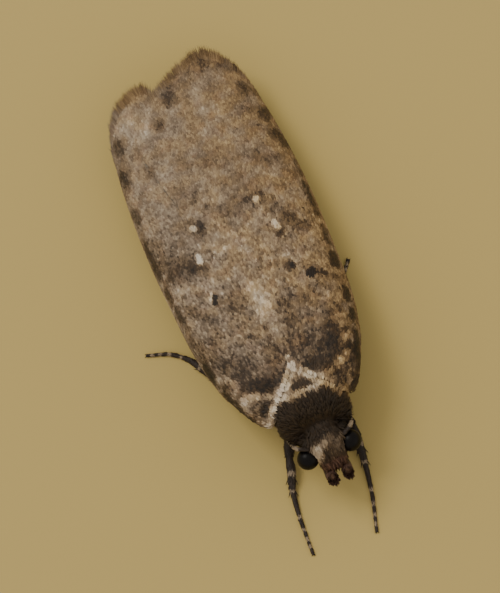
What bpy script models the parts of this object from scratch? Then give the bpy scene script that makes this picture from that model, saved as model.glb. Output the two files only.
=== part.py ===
"""A flat-bodied moth at rest, life size, with its forewings laid flat over each other along its back.

The moth stands on z = 0 with its head towards -Y and its left side towards +X. All sizes below are in
millimetres in the moth's own frame: x runs to its left, s runs from the front of the head to the wing tips
and z runs up. The whole model is centred over the origin at the end.
"""

import math

import bmesh
import bpy
from mathutils import Matrix, Vector

MM = 0.001  # one millimetre in metres

# Driving sizes
SEAM = 0.08  # thin cut between neighbouring pieces
EYE_SEAM = 0.04  # cut round each eye
WING_THICKNESS = 0.50
WING_LAP = 0.05  # how far the left forewing stands over the right one
LEG_RADIUS = 0.25
ANTENNA_RADIUS = 0.225
PALP_RADIUS = 0.24
EYE_RADIUS = 0.30
SOLE_LEVEL = 0.21  # centre line of a tarsus, low enough for the floor to cut a flat sole on it
ARCH_POWER = 3.0  # how boxy the wings' vault is across
WALL_MARGIN = 0.02  # the vault is this much wider than the wing, so its edge stands as a low wall
RIM_LEAST = 0.06  # least width of the flat rim under a wing's edge

# Outlines along the body, as (s, value) stations
COSTA = (  # half width at the front edge of either forewing
    (1.08, 1.24), (1.41, 1.49), (1.90, 1.76), (2.40, 1.95), (2.95, 2.10), (3.50, 2.22),
    (4.20, 2.31), (5.30, 2.37), (6.80, 2.42), (8.40, 2.37), (9.50, 2.27), (10.50, 2.10),
    (11.20, 1.92), (12.00, 1.80),
)  # fmt: skip
RIGHT_TUCK = 0.05  # how much closer the right forewing is held
LEFT_APEX = ((10.20, 2.16), (10.80, 2.02), (11.20, 1.85), (11.50, 1.66), (11.70, 1.48), (11.84, 1.22))
RIGHT_APEX = ((10.00, 2.15), (10.50, 2.02), (10.90, 1.86), (11.20, 1.64), (11.42, 1.34), (11.54, 1.00))
LAP_LINE = (  # where the inner edge and the rear edge of the left forewing lie over the right one
    (2.46, 0.02), (3.20, -0.08), (4.20, -0.28), (5.80, -0.60), (7.20, -0.90), (8.60, -1.20),
    (9.50, -1.34), (10.20, -1.25), (10.70, -0.92), (11.08, -0.42), (11.36, 0.08), (11.66, 0.60),
    (11.84, 1.00),
)  # fmt: skip
RIGHT_REAR_EDGE = ((11.00, -0.62), (11.25, -0.44), (11.54, -0.55))
ROOF = (  # height of the wings along the midline
    (1.08, 2.08), (2.00, 2.38), (3.00, 2.40), (5.00, 2.30), (7.00, 2.14), (9.00, 1.90),
    (11.00, 1.56), (12.00, 1.38),
)  # fmt: skip
RIM = ((1.08, 1.45), (1.60, 1.32), (2.20, 1.14), (3.00, 0.86), (4.20, 0.64), (12.00, 0.62))
SHOULDER = (  # half width of the thorax with its tegulae
    (0.60, 0.44), (0.80, 0.84), (1.00, 0.98), (1.30, 1.02), (1.60, 0.93), (1.90, 0.71),
    (2.20, 0.42), (2.46, 0.06),
)  # fmt: skip
BACK_EDGE = (  # half width of the thorax between its tegulae
    (0.60, 0.42), (0.74, 0.62), (1.00, 0.60), (1.40, 0.52), (1.75, 0.46), (2.00, 0.46),
    (2.20, 0.38), (2.42, 0.07),
)  # fmt: skip
BACK_HEIGHT = (
    (0.60, 1.90), (0.66, 2.08), (0.85, 2.32), (1.25, 2.52), (1.70, 2.50), (2.20, 2.48), (2.46, 2.42),
)  # fmt: skip
BACK_FLOOR = 1.58  # underside of the upper thorax
TEGULA_INNER = ((0.84, 0.74), (1.00, 0.68), (1.40, 0.60), (1.75, 0.54), (1.94, 0.55))
TEGULA_SPAN = (0.84, 1.94)
HINDWING_OUTER = (
    (2.90, 0.90), (3.60, 1.10), (6.20, 1.14), (6.90, 1.50), (7.60, 1.72), (9.00, 1.70),
    (10.00, 1.42), (10.60, 0.90),
)  # fmt: skip
MIDLINE_GAP = 0.04  # half the cut between the two hindwings

# Rounded bodies, as (s, half width, lowest z, highest z) stations
HEAD_SECTIONS = (
    (-0.32, 0.12, 1.10, 1.36), (-0.28, 0.26, 1.00, 1.52), (-0.18, 0.38, 0.92, 1.70),
    (0.02, 0.50, 0.86, 1.90), (0.26, 0.57, 0.84, 2.02), (0.42, 0.55, 0.88, 2.05),
    (0.52, 0.44, 0.98, 1.96),
)  # fmt: skip
BREAST_SECTIONS = (
    (0.60, 0.32, 0.96, 1.46), (0.90, 0.54, 0.74, 1.50), (1.40, 0.63, 0.67, 1.50),
    (2.10, 0.72, 0.64, 1.50), (2.58, 0.64, 0.66, 1.36),
)  # fmt: skip
ABDOMEN_SECTIONS = (
    (2.66, 0.62, 0.56, 1.18), (3.20, 0.82, 0.46, 1.22), (4.40, 0.86, 0.42, 1.18),
    (6.00, 0.84, 0.42, 1.06), (7.40, 0.74, 0.40, 0.92), (8.40, 0.54, 0.36, 0.80),
    (8.90, 0.26, 0.40, 0.70),
)  # fmt: skip
EYE_PLACE = (0.60, 0.03, 1.38)
PALP_OFFSET = 0.045  # the palps are carried a little towards the left

# Centre lines of the feelers, for the left side
ANTENNA_LINE = (
    (0.74, 0.49, 1.63), (0.86, 0.76, 1.33), (0.93, 1.10, 1.15), (0.98, 1.60, 1.02),
    (1.08, 2.20, 0.88), (1.25, 3.00, 0.84), (1.44, 4.20, 0.84), (1.48, 6.30, 0.82),
)  # fmt: skip
PALP_LINE = ((0.25, -0.38, 0.96), (0.27, -0.54, 1.02), (0.27, -0.66, 1.22), (0.26, -0.64, 1.62))

# Centre lines of the legs from the breast to the claws, with the places of the knee and the ankle in each
LEGS = {
    "foreleg_right": ((
        (-0.40, 1.15, 0.40), (-0.82, 0.94, 0.38), (-1.02, 0.60, 0.40), (-1.14, 0.20, 0.37),
        (-1.26, -0.22, 0.25), (-1.39, -0.93, SOLE_LEVEL), (-1.50, -2.02, SOLE_LEVEL),
    ), 2, 4),
    "foreleg_left": ((
        (0.40, 1.15, 0.40), (0.68, 1.00, 0.38), (0.81, 0.66, 0.40), (0.76, 0.22, 0.37),
        (0.68, -0.20, 0.25), (0.54, -1.08, SOLE_LEVEL), (0.26, -2.14, SOLE_LEVEL),
    ), 2, 4),
    "midleg_right": ((
        (-0.40, 1.85, 0.38), (-1.00, 2.08, 0.30), (-1.47, 2.58, 0.28), (-2.20, 3.82, 0.26),
        (-2.46, 4.24, SOLE_LEVEL), (-2.85, 4.58, SOLE_LEVEL), (-3.44, 4.82, SOLE_LEVEL),
    ), 2, 3),
    "midleg_left": ((
        (0.40, 1.85, 0.38), (1.00, 2.08, 0.30), (1.47, 2.58, 0.28), (1.88, 3.80, 0.26),
        (2.12, 4.42, SOLE_LEVEL), (2.54, 4.98, SOLE_LEVEL),
    ), 2, 3),
    "hindleg_right": ((
        (-0.40, 2.55, 0.38), (-0.96, 3.12, 0.29), (-1.15, 3.92, 0.28), (-1.20, 6.17, 0.26),
        (-1.16, 7.30, SOLE_LEVEL), (-1.20, 8.30, SOLE_LEVEL),
    ), 2, 3),
    "hindleg_left": ((
        (0.40, 2.55, 0.38), (0.96, 3.12, 0.29), (1.15, 3.92, 0.28), (1.20, 6.17, 0.26),
        (1.18, 7.30, SOLE_LEVEL), (1.24, 8.30, SOLE_LEVEL),
    ), 2, 3),
}  # fmt: skip

# Colours of the pieces
DARK_BROWN = (0.030, 0.020, 0.014)
TAN = (0.270, 0.200, 0.130)
GREY_TAN = (0.180, 0.145, 0.105)
PALE_GREY = (0.420, 0.390, 0.330)
CREAM = (0.480, 0.400, 0.280)
EYE_BLACK = (0.006, 0.005, 0.005)


# Reading the outlines


def smooth(stations, s):
    """The value at s of a smooth curve through the stations, level with the end values beyond them."""
    if s <= stations[0][0]:
        return stations[0][1]
    if s >= stations[-1][0]:
        return stations[-1][1]
    i = max(k for k in range(len(stations) - 1) if stations[k][0] <= s)
    (s0, v0), (s1, v1) = stations[i], stations[i + 1]
    step = s1 - s0
    rise = (v1 - v0) / step
    before = rise if i == 0 else (v0 - stations[i - 1][1]) / (s0 - stations[i - 1][0])
    after = rise if i + 2 == len(stations) else (stations[i + 2][1] - v1) / (stations[i + 2][0] - s1)
    m0 = (before + rise) / 2
    m1 = (rise + after) / 2
    t = (s - s0) / step
    return (
        v0 * (2 * t**3 - 3 * t**2 + 1)
        + v1 * (3 * t**2 - 2 * t**3)
        + step * (m0 * (t**3 - 2 * t**2 + t) + m1 * (t**3 - t**2))
    )


def spread(start, end, count, ease=0.0):
    """count values from start to end, drawn towards the end by ease, from 0 for even to 1 for strong."""
    values = []
    for i in range(count):
        t = i / (count - 1)
        eased = (1 - ease) * t + ease * math.sin(t * math.pi / 2)
        values.append(start + (end - start) * eased)
    return values


def vault(x, half_width, low, high):
    """Height at x of a boxy vault that stands on low at its half width and reaches high in the middle."""
    share = min(abs(x) / half_width, 1.0)
    return low + (high - low) * (1 - share**ARCH_POWER) ** (1 / ARCH_POWER)


def wing_top(x, s):
    """Upper face of the folded wings."""
    return vault(x, smooth(COSTA, s) + WALL_MARGIN, smooth(RIM, s), smooth(ROOF, s))


def wing_under(x, s, depth):
    """A face that lies depth under the upper face of the wings, and level with the rim beside it."""
    half_width = smooth(COSTA, s) + WALL_MARGIN - depth
    return vault(x, half_width, smooth(RIM, s), smooth(ROOF, s) - depth)


def back_top(x, s):
    """Upper face of the thorax and its tegulae."""
    half_width = smooth(SHOULDER, s) + 0.10
    return vault(x, half_width, BACK_FLOOR, smooth(BACK_HEIGHT, s))


# Building the pieces


def collection(name):
    """A new collection in the scene."""
    made = bpy.data.collections.new(name)
    bpy.context.scene.collection.children.link(made)
    return made


def finish(name, colour, roughness=0.7, metallic=0.0):
    """A plain material of one colour."""
    material = bpy.data.materials.new(name)
    material.use_nodes = True
    shader = material.node_tree.nodes["Principled BSDF"]
    shader.inputs["Base Color"].default_value = (*colour, 1.0)
    shader.inputs["Roughness"].default_value = roughness
    shader.inputs["Metallic"].default_value = metallic
    return material


def place(name, bm, material, into, sharp_angle=50.0):
    """Turns a bmesh in millimetres into a smooth-shaded object of its own."""
    bmesh.ops.recalc_face_normals(bm, faces=bm.faces)
    mesh = bpy.data.meshes.new(name)
    bm.to_mesh(mesh)
    bm.free()
    mesh.transform(Matrix.Scale(MM, 4))
    mesh.shade_smooth()
    mesh.set_sharp_from_angle(angle=math.radians(sharp_angle))
    mesh.materials.append(material)
    made = bpy.data.objects.new(name, mesh)
    into.objects.link(made)
    return made


def loft(rings):
    """A closed bmesh through rings of equally many points, with a flat cap at each end."""
    bm = bmesh.new()
    rows = [[bm.verts.new(point) for point in ring] for ring in rings]
    count = len(rows[0])
    for near, far in zip(rows, rows[1:]):
        for i in range(count):
            j = (i + 1) % count
            bm.faces.new((near[i], near[j], far[j], far[i]))
    bm.faces.new(reversed(rows[0]))
    bm.faces.new(rows[-1])
    return bm


def slab(stations, inner, outer, top, under, across, wall=None):
    """A loft between two outlines seen from above, with its upper and lower faces given as heights.

    Where wall is given, the underside turns down there into a flat rim that runs on to the outer outline.
    """
    rings = []
    for s in stations:
        start, end = inner(s), outer(s)
        foot = end
        if wall is not None:
            side = math.copysign(1.0, end)
            foot = side * max(side * start + RIM_LEAST / 2, min(wall(s), abs(end) - RIM_LEAST))
        ring = [Vector((x, s, top(x, s))) for x in spread(start, end, across, ease=0.8)]
        if foot != end:
            ring.append(Vector((end, s, under(end, s))))
        ring += [Vector((x, s, under(x, s))) for x in reversed(spread(start, foot, across, ease=0.8))]
        rings.append(ring)
    return loft(rings)


def body(sections, stations, around):
    """A loft of rounded sections whose half width and heights follow the given sections."""
    widths = [(s, width) for s, width, low, high in sections]
    lows = [(s, low) for s, width, low, high in sections]
    highs = [(s, high) for s, width, low, high in sections]
    roundness = 2.3
    rings = []
    for i in range(stations):
        s = sections[0][0] + (sections[-1][0] - sections[0][0]) * i / (stations - 1)
        width, low, high = smooth(widths, s), smooth(lows, s), smooth(highs, s)
        ring = []
        for k in range(around):
            angle = math.tau * (k + 0.5) / around
            c, d = math.cos(angle), math.sin(angle)
            x = width * math.copysign(abs(c) ** (2 / roundness), c)
            z = (high + low) / 2 + (high - low) / 2 * math.copysign(abs(d) ** (2 / roundness), d)
            ring.append(Vector((x, s, z)))
        rings.append(ring)
    return loft(rings)


def tube(line, radii, steps=3):
    """A bmesh of a capped tube along a line, from a bevelled curve with its caps welded on."""
    curve = bpy.data.curves.new("wire", "CURVE")
    curve.dimensions = "3D"
    curve.bevel_depth = 1.0
    curve.bevel_resolution = 2
    curve.resolution_u = steps
    curve.use_fill_caps = True
    spline = curve.splines.new("BEZIER")
    spline.bezier_points.add(len(line) - 1)
    for knot, point, radius in zip(spline.bezier_points, line, radii):
        knot.co = point
        knot.radius = radius
        knot.handle_left_type = knot.handle_right_type = "AUTO"
    wire = bpy.data.objects.new("wire", curve)
    bpy.context.scene.collection.objects.link(wire)
    bpy.context.view_layer.update()
    mesh = bpy.data.meshes.new_from_object(wire.evaluated_get(bpy.context.evaluated_depsgraph_get()))
    bm = bmesh.new()
    bm.from_mesh(mesh)
    bmesh.ops.remove_doubles(bm, verts=bm.verts, dist=0.001)
    bpy.data.objects.remove(wire)
    bpy.data.curves.remove(curve)
    bpy.data.meshes.remove(mesh)
    return bm


def keep_beyond(bm, point, direction):
    """Keeps what lies beyond a plane, and closes the cut."""
    geometry = [*bm.verts, *bm.edges, *bm.faces]
    bmesh.ops.bisect_plane(bm, geom=geometry, plane_co=point, plane_no=direction, clear_inner=True)
    bmesh.ops.holes_fill(bm, edges=bm.edges, sides=0)


def cut(piece, cutter):
    """Takes the cutter away from a piece."""
    boolean = piece.modifiers.new("cut_by_" + cutter.name, "BOOLEAN")
    boolean.operation = "DIFFERENCE"
    boolean.solver = "EXACT"
    boolean.object = cutter


def ball(name, centre, radius, material, into, segments=16, rings=10):
    """A sphere."""
    bm = bmesh.new()
    bmesh.ops.create_uvsphere(bm, u_segments=segments, v_segments=rings, radius=radius)
    bmesh.ops.translate(bm, verts=bm.verts, vec=centre)
    return place(name, bm, material, into, sharp_angle=180.0)


def as_cutter(piece):
    """Marks a helper object, which is no part of the moth."""
    piece.hide_render = True
    piece.display_type = "WIRE"
    return piece


# The moth's pieces


def make_head(parts, cutters):
    """The head with a socket for each eye, and the eyes in them."""
    head = place("head", body(HEAD_SECTIONS, 11, 20), finish("face_scales", PALE_GREY), parts)
    eye_finish = finish("eye_surface", EYE_BLACK, roughness=0.2)
    x, s, z = EYE_PLACE
    for side, name in ((1, "left"), (-1, "right")):
        centre = (side * x, s, z)
        ball("eye_" + name, centre, EYE_RADIUS, eye_finish, parts)
        socket = ball("socket_" + name, centre, EYE_RADIUS + EYE_SEAM, eye_finish, cutters)
        cut(head, as_cutter(socket))


def make_feelers(parts):
    """The two palps in front of the face and the two antennae swept back under the wings."""
    palp_finish = finish("palp_scales", DARK_BROWN)
    antenna_finish = finish("antenna_surface", DARK_BROWN, roughness=0.5)
    for side, name in ((1, "left"), (-1, "right")):
        line = [(side * x + PALP_OFFSET, s, z) for x, s, z in PALP_LINE]
        radii = [PALP_RADIUS * share for share in (0.92, 1.0, 1.0, 0.80)]
        place("palp_" + name, tube(line, radii), palp_finish, parts)
        line = [(side * x, s, z) for x, s, z in ANTENNA_LINE]
        place("antenna_" + name, tube(line, [ANTENNA_RADIUS] * len(line), steps=2), antenna_finish, parts)


def make_thorax(parts):
    """The upper thorax, its two tegulae and the breast that carries the legs."""
    dark = finish("thorax_scales", DARK_BROWN)
    stations = spread(BACK_EDGE[0][0], BACK_EDGE[-1][0], 15)
    bm = slab(
        stations,
        lambda s: -smooth(BACK_EDGE, s),
        lambda s: smooth(BACK_EDGE, s),
        back_top,
        lambda x, s: BACK_FLOOR,
        11,
    )
    place("thorax_back", bm, dark, parts)
    for side, name in ((1, "left"), (-1, "right")):
        bm = slab(
            spread(*TEGULA_SPAN, 10),
            lambda s: side * smooth(TEGULA_INNER, s),
            lambda s: side * smooth(SHOULDER, s),
            lambda x, s: back_top(x, s) + 0.03,
            lambda x, s: BACK_FLOOR,
            6,
        )
        place("tegula_" + name, bm, dark, parts)
    place("thorax_underside", body(BREAST_SECTIONS, 11, 18), finish("breast_scales", GREY_TAN), parts)


def make_forewings(parts):
    """The two forewings, parted along the line where the left one lies over the right one."""
    start, left_end, right_end = COSTA[0][0], LEFT_APEX[-1][0], RIGHT_APEX[-1][0]
    apex = LAP_LINE[0][0]

    def left_inner(s):
        return smooth(SHOULDER, s) + SEAM if s < apex else smooth(LAP_LINE, s) + SEAM / 2

    def left_outer(s):
        return smooth(COSTA, s) if s < LEFT_APEX[0][0] else smooth(LEFT_APEX, s)

    def right_inner(s):
        if s < apex:
            return -smooth(SHOULDER, s) - SEAM
        if s < RIGHT_REAR_EDGE[0][0]:
            return smooth(LAP_LINE, s) - SEAM / 2
        return smooth(RIGHT_REAR_EDGE, s)

    def right_outer(s):
        if s < RIGHT_APEX[0][0]:
            return -smooth(COSTA, s) + RIGHT_TUCK * min(1.0, (s - start) / (RIGHT_APEX[0][0] - start))
        return -smooth(RIGHT_APEX, s)

    def wall(s):
        return smooth(COSTA, s) + WALL_MARGIN - WING_THICKNESS

    bm = slab(
        spread(start, left_end, 34),
        left_inner,
        left_outer,
        lambda x, s: wing_top(x, s) + WING_LAP,
        lambda x, s: wing_under(x, s, WING_THICKNESS),
        11,
        wall,
    )
    place("forewing_left", bm, finish("left_wing_scales", TAN), parts)
    bm = slab(
        spread(start, right_end, 34),
        right_inner,
        right_outer,
        wing_top,
        lambda x, s: wing_under(x, s, WING_THICKNESS),
        11,
        wall,
    )
    place("forewing_right", bm, finish("right_wing_scales", GREY_TAN), parts)


def make_hindwings(parts):
    """The two hindwings, folded between the forewings and the abdomen."""
    pale = finish("hindwing_scales", PALE_GREY)
    over = WING_THICKNESS + SEAM
    for side, name in ((1, "left"), (-1, "right")):
        bm = slab(
            spread(HINDWING_OUTER[0][0], HINDWING_OUTER[-1][0], 17),
            lambda s: side * MIDLINE_GAP,
            lambda s: side * smooth(HINDWING_OUTER, s),
            lambda x, s: wing_under(x, s, over),
            lambda x, s: wing_under(x, s, over) - WING_THICKNESS,
            7,
        )
        place("hindwing_" + name, bm, pale, parts)


def make_abdomen(parts):
    """The flattened abdomen."""
    place("abdomen", body(ABDOMEN_SECTIONS, 17, 18), finish("abdomen_scales", CREAM), parts)


def make_legs(parts, cutters):
    """Six legs, each one tube parted at its knee and ankle, whose tarsi rest on flat soles at z = 0."""
    leg_finish = finish("leg_scales", DARK_BROWN)
    bm = bmesh.new()
    bmesh.ops.create_cube(bm, size=2.0)
    bmesh.ops.scale(bm, verts=bm.verts, vec=(10.0, 20.0, 1.0))
    bmesh.ops.translate(bm, verts=bm.verts, vec=(0.0, 5.0, -1.0))
    ground = as_cutter(place("ground_cutter", bm, leg_finish, cutters))
    for leg, (line, knee, ankle) in LEGS.items():
        whole = tube(line, [LEG_RADIUS] * len(line))
        cuts = []
        for joint in (knee, ankle):
            direction = (Vector(line[joint + 1]) - Vector(line[joint - 1])).normalized()
            cuts.append((Vector(line[joint]), direction))
        for segment, start, end in (("femur", None, 0), ("tibia", 0, 1), ("tarsus", 1, None)):
            bm = whole.copy()
            if start is not None:
                point, direction = cuts[start]
                keep_beyond(bm, point + direction * SEAM / 2, direction)
            if end is not None:
                point, direction = cuts[end]
                keep_beyond(bm, point - direction * SEAM / 2, -direction)
            cut(place(f"{leg}_{segment}", bm, leg_finish, parts), ground)
        whole.free()


def centre_over_origin(parts, cutters):
    """Moves everything so that the middle of the moth's box lies over the origin, with its soles at z = 0."""
    bpy.context.view_layer.update()
    depsgraph = bpy.context.evaluated_depsgraph_get()
    corners = [
        piece.matrix_world @ vertex.co
        for piece in parts.objects
        for vertex in piece.evaluated_get(depsgraph).data.vertices
    ]
    middle = Vector(
        (
            (min(c.x for c in corners) + max(c.x for c in corners)) / 2,
            (min(c.y for c in corners) + max(c.y for c in corners)) / 2,
            min(c.z for c in corners),
        )
    )
    for piece in [*parts.objects, *cutters.objects]:
        piece.location -= middle


def main():
    for old in list(bpy.data.objects):
        bpy.data.objects.remove(old, do_unlink=True)
    parts = collection("moth")
    cutters = collection("moth_cutters")
    make_head(parts, cutters)
    make_feelers(parts)
    make_thorax(parts)
    make_forewings(parts)
    make_hindwings(parts)
    make_abdomen(parts)
    make_legs(parts, cutters)
    centre_over_origin(parts, cutters)


if __name__ == "__main__":
    main()
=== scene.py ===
"""Dresses the moth: skin, wings, scales, eyes, feelers and legs round its solids, and a plain stage.

The moth's own frame is in millimetres: x runs to its left, s from the front of the head to the wing tips and
z up from the soles. Everything is built in that frame and then set where the solids are.
"""

import math

import bmesh
import bpy
import numpy as np
from bpy.props import FloatProperty, FloatVectorProperty, IntProperty, PointerProperty
from mathutils import Matrix, Vector, noise


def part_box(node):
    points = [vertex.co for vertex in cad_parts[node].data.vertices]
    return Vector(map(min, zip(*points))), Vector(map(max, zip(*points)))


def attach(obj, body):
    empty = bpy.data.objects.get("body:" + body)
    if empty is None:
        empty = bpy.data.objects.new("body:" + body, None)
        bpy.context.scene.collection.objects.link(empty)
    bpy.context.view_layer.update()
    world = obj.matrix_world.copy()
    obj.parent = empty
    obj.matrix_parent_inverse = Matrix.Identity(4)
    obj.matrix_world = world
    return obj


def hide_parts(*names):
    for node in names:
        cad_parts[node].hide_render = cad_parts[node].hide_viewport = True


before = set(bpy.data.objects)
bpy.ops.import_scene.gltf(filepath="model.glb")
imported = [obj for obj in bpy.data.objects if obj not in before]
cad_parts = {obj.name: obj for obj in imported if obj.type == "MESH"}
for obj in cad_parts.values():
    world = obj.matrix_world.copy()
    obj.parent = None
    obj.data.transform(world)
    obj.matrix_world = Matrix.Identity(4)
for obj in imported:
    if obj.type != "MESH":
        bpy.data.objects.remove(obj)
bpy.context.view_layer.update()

bl_info = {
    "name": "Flat-bodied moth",
    "version": (1, 0, 0),
    "blender": (4, 5, 0),
    "location": "3D View > Sidebar > Moth",
    "description": "Builds the skin, wings, scales, eyes and legs of a small resting moth",
    "category": "Add Mesh",
}

MM = 0.001  # one millimetre in metres
UP = np.array([0.0, 0.0, 1.0])
LEFT_EYE = (0.6, 0.03, 1.38)  # the left eye's centre in the moth's own frame
EYE_SHARE = 0.96  # radius of an eye with its facets, against the solid one
low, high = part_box("eye_left")
ORIGIN = (low + high) / 2 - Vector(LEFT_EYE) * MM  # where the moth's own frame has its zero

# Outlines along the body, as (s, value) stations
COSTA = (  # half width at the front edge of either forewing
    (1.08, 1.24), (1.41, 1.49), (1.9, 1.76), (2.4, 1.95), (2.95, 2.1), (3.5, 2.22), (4.2, 2.31), (5.3, 2.37),
    (6.8, 2.42), (8.4, 2.37), (9.5, 2.27), (10.5, 2.1), (11.2, 1.92), (12.0, 1.8),
)  # fmt: skip
RIGHT_TUCK = 0.05  # how much closer the right forewing is held
LEFT_APEX = ((10.2, 2.16), (10.8, 2.02), (11.2, 1.85), (11.5, 1.66), (11.7, 1.48), (11.84, 1.22))
RIGHT_APEX = ((10.0, 2.15), (10.5, 2.02), (10.9, 1.86), (11.2, 1.64), (11.42, 1.34), (11.54, 1.0))
LAP_LINE = (  # the inner edge and the rear edge of the left forewing, which lies over the right one
    (1.7, 0.5), (1.9, 0.4), (2.15, 0.18), (2.46, 0.0), (3.2, -0.08), (4.2, -0.28), (5.8, -0.6), (7.2, -0.9),
    (8.6, -1.2), (9.5, -1.34), (10.2, -1.27), (10.74, -0.95), (11.14, -0.44), (11.42, 0.06), (11.68, 0.6),
    (11.84, 1.0),
)  # fmt: skip
RIGHT_REAR_EDGE = ((10.6, 0.78), (11.0, 0.6), (11.25, 0.46), (11.54, 0.62))
ROOF = (  # height of the wings along the midline
    (1.08, 2.08), (2.0, 2.38), (3.0, 2.4), (5.0, 2.3), (7.0, 2.14), (9.0, 1.9), (11.0, 1.56), (12.0, 1.38),
)  # fmt: skip
RIM = ((1.08, 1.45), (1.6, 1.32), (2.2, 1.14), (3.0, 0.86), (4.2, 0.64), (12.0, 0.62))
WING_BASE = (  # the front margin of the left forewing, from the tegula to the apex of the back
    (1.08, 1.0), (1.3, 0.9), (1.55, 0.66), (1.9, 0.32), (2.2, 0.12), (2.46, 0.0),
)  # fmt: skip
SHOULDER = (  # half width of the thorax
    (0.52, 0.56), (0.72, 0.86), (1.0, 0.99), (1.3, 1.02), (1.6, 0.93), (1.9, 0.71), (2.2, 0.42),
    (2.46, 0.06),
)  # fmt: skip
BACK_HEIGHT = (
    (0.6, 1.9), (0.66, 2.08), (0.85, 2.32), (1.25, 2.52), (1.7, 2.5), (2.2, 2.48), (2.46, 2.42),
)  # fmt: skip
BACK_FLOOR = 1.58  # height from which the back's arch rises
HINDWING_OUTER = (
    (2.9, 0.9), (3.6, 1.1), (6.2, 1.14), (6.9, 1.5), (7.6, 1.72), (9.0, 1.7), (10.0, 1.42), (10.6, 0.9),
)  # fmt: skip

# Rounded bodies, as (s, half width, lowest z, highest z) stations
HEAD_SECTIONS = (
    (-0.41, 0.12, 1.12, 1.3), (-0.38, 0.22, 1.07, 1.37), (-0.33, 0.32, 1.02, 1.45),
    (-0.26, 0.41, 0.97, 1.55), (-0.16, 0.47, 0.92, 1.7), (0.02, 0.52, 0.86, 1.9), (0.26, 0.57, 0.84, 2.02),
    (0.42, 0.56, 0.88, 2.05), (0.7, 0.5, 0.98, 2.0),
)  # fmt: skip
BREAST_SECTIONS = (
    (0.4, 0.32, 1.0, 1.7), (0.9, 0.66, 0.78, 1.9), (1.4, 0.76, 0.67, 1.9), (2.1, 0.8, 0.64, 1.9),
    (2.75, 0.76, 0.6, 1.6),
)  # fmt: skip
ABDOMEN_SECTIONS = (
    (2.5, 0.66, 0.6, 1.4), (3.2, 0.82, 0.46, 1.22), (4.4, 0.86, 0.42, 1.18), (6.0, 0.84, 0.42, 1.06),
    (7.4, 0.74, 0.4, 0.92), (8.4, 0.54, 0.36, 0.8), (8.9, 0.26, 0.4, 0.7),
)  # fmt: skip
PALP_LINE = (  # from inside the mouth to the tip, with the radius last
    (0.25, 0.06, 1.08, 0.08), (0.27, -0.14, 0.95, 0.1), (0.27, -0.34, 0.96, 0.13),
    (0.25, -0.55, 1.09, 0.142), (0.24, -0.67, 1.28, 0.108), (0.235, -0.69, 1.42, 0.055),
    (0.23, -0.66, 1.62, 0.016),
)  # fmt: skip
PALP_SPREAD = {1: (0.86, 0.01), -1: (1.0, -0.035)}  # how far out each palp stands: share and shift
ANTENNA_LINE = (
    (0.47, 0.16, 1.7), (0.61, 0.22, 1.73), (0.74, 0.31, 1.69), (0.84, 0.46, 1.58), (0.9, 0.76, 1.36),
    (0.96, 1.1, 1.15), (0.98, 1.6, 1.02), (1.08, 2.2, 0.88), (1.25, 3.0, 0.84), (1.44, 4.2, 0.84),
    (1.48, 6.3, 0.82),
)  # fmt: skip
SOLE_LEVEL = 0.21  # height of a tarsus's centre line in the solids
# Centre lines of the legs from the breast to the claws, with the places of the knee and the ankle in each
LEGS = {
    "foreleg_right": ((
        (-0.4, 1.15, 0.6), (-0.82, 0.94, 0.46), (-1.02, 0.6, 0.42), (-1.14, 0.2, 0.37),
        (-1.3, -0.2, 0.25), (-1.42, -0.93, SOLE_LEVEL), (-1.49, -2.0, SOLE_LEVEL),
    ), 2, 4),
    "foreleg_left": ((
        (0.4, 1.15, 0.6), (0.68, 1.0, 0.46), (0.82, 0.66, 0.42), (0.79, 0.22, 0.37),
        (0.73, -0.26, 0.25), (0.58, -1.08, SOLE_LEVEL), (0.27, -2.14, SOLE_LEVEL),
    ), 2, 4),
    "midleg_right": ((
        (-0.4, 1.85, 0.6), (-1.0, 2.08, 0.32), (-1.47, 2.58, 0.3), (-2.2, 3.82, 0.26),
        (-2.46, 4.24, SOLE_LEVEL), (-2.85, 4.58, SOLE_LEVEL), (-3.44, 4.82, SOLE_LEVEL),
    ), 2, 3),
    "midleg_left": ((
        (0.4, 1.85, 0.6), (1.0, 2.08, 0.32), (1.47, 2.58, 0.3), (1.88, 3.8, 0.26),
        (2.12, 4.42, SOLE_LEVEL), (2.54, 4.98, SOLE_LEVEL),
    ), 2, 3),
    "hindleg_right": ((
        (-0.4, 2.55, 0.6), (-0.96, 3.12, 0.31), (-1.15, 3.92, 0.28), (-1.2, 6.17, 0.26),
        (-1.16, 7.3, SOLE_LEVEL), (-1.2, 8.3, SOLE_LEVEL),
    ), 2, 3),
    "hindleg_left": ((
        (0.4, 2.55, 0.6), (0.96, 3.12, 0.31), (1.15, 3.92, 0.28), (1.2, 6.17, 0.26),
        (1.18, 7.3, SOLE_LEVEL), (1.24, 8.3, SOLE_LEVEL),
    ), 2, 3),
}  # fmt: skip

# Depths of the coat, from the solids' faces down to the skin
WING_COAT = 0.05
MEMBRANE = 0.03  # thickness of a forewing's membrane
HINDWING_MEMBRANE = 0.02
BODY_COAT = 0.07
ABDOMEN_COAT = 0.05
LIMB_REACH = 0.2  # how far from an upper leg's centre line the skin takes the legs' colour
BARE_REACH = 0.22  # how far from it the underside's scales keep

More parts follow.
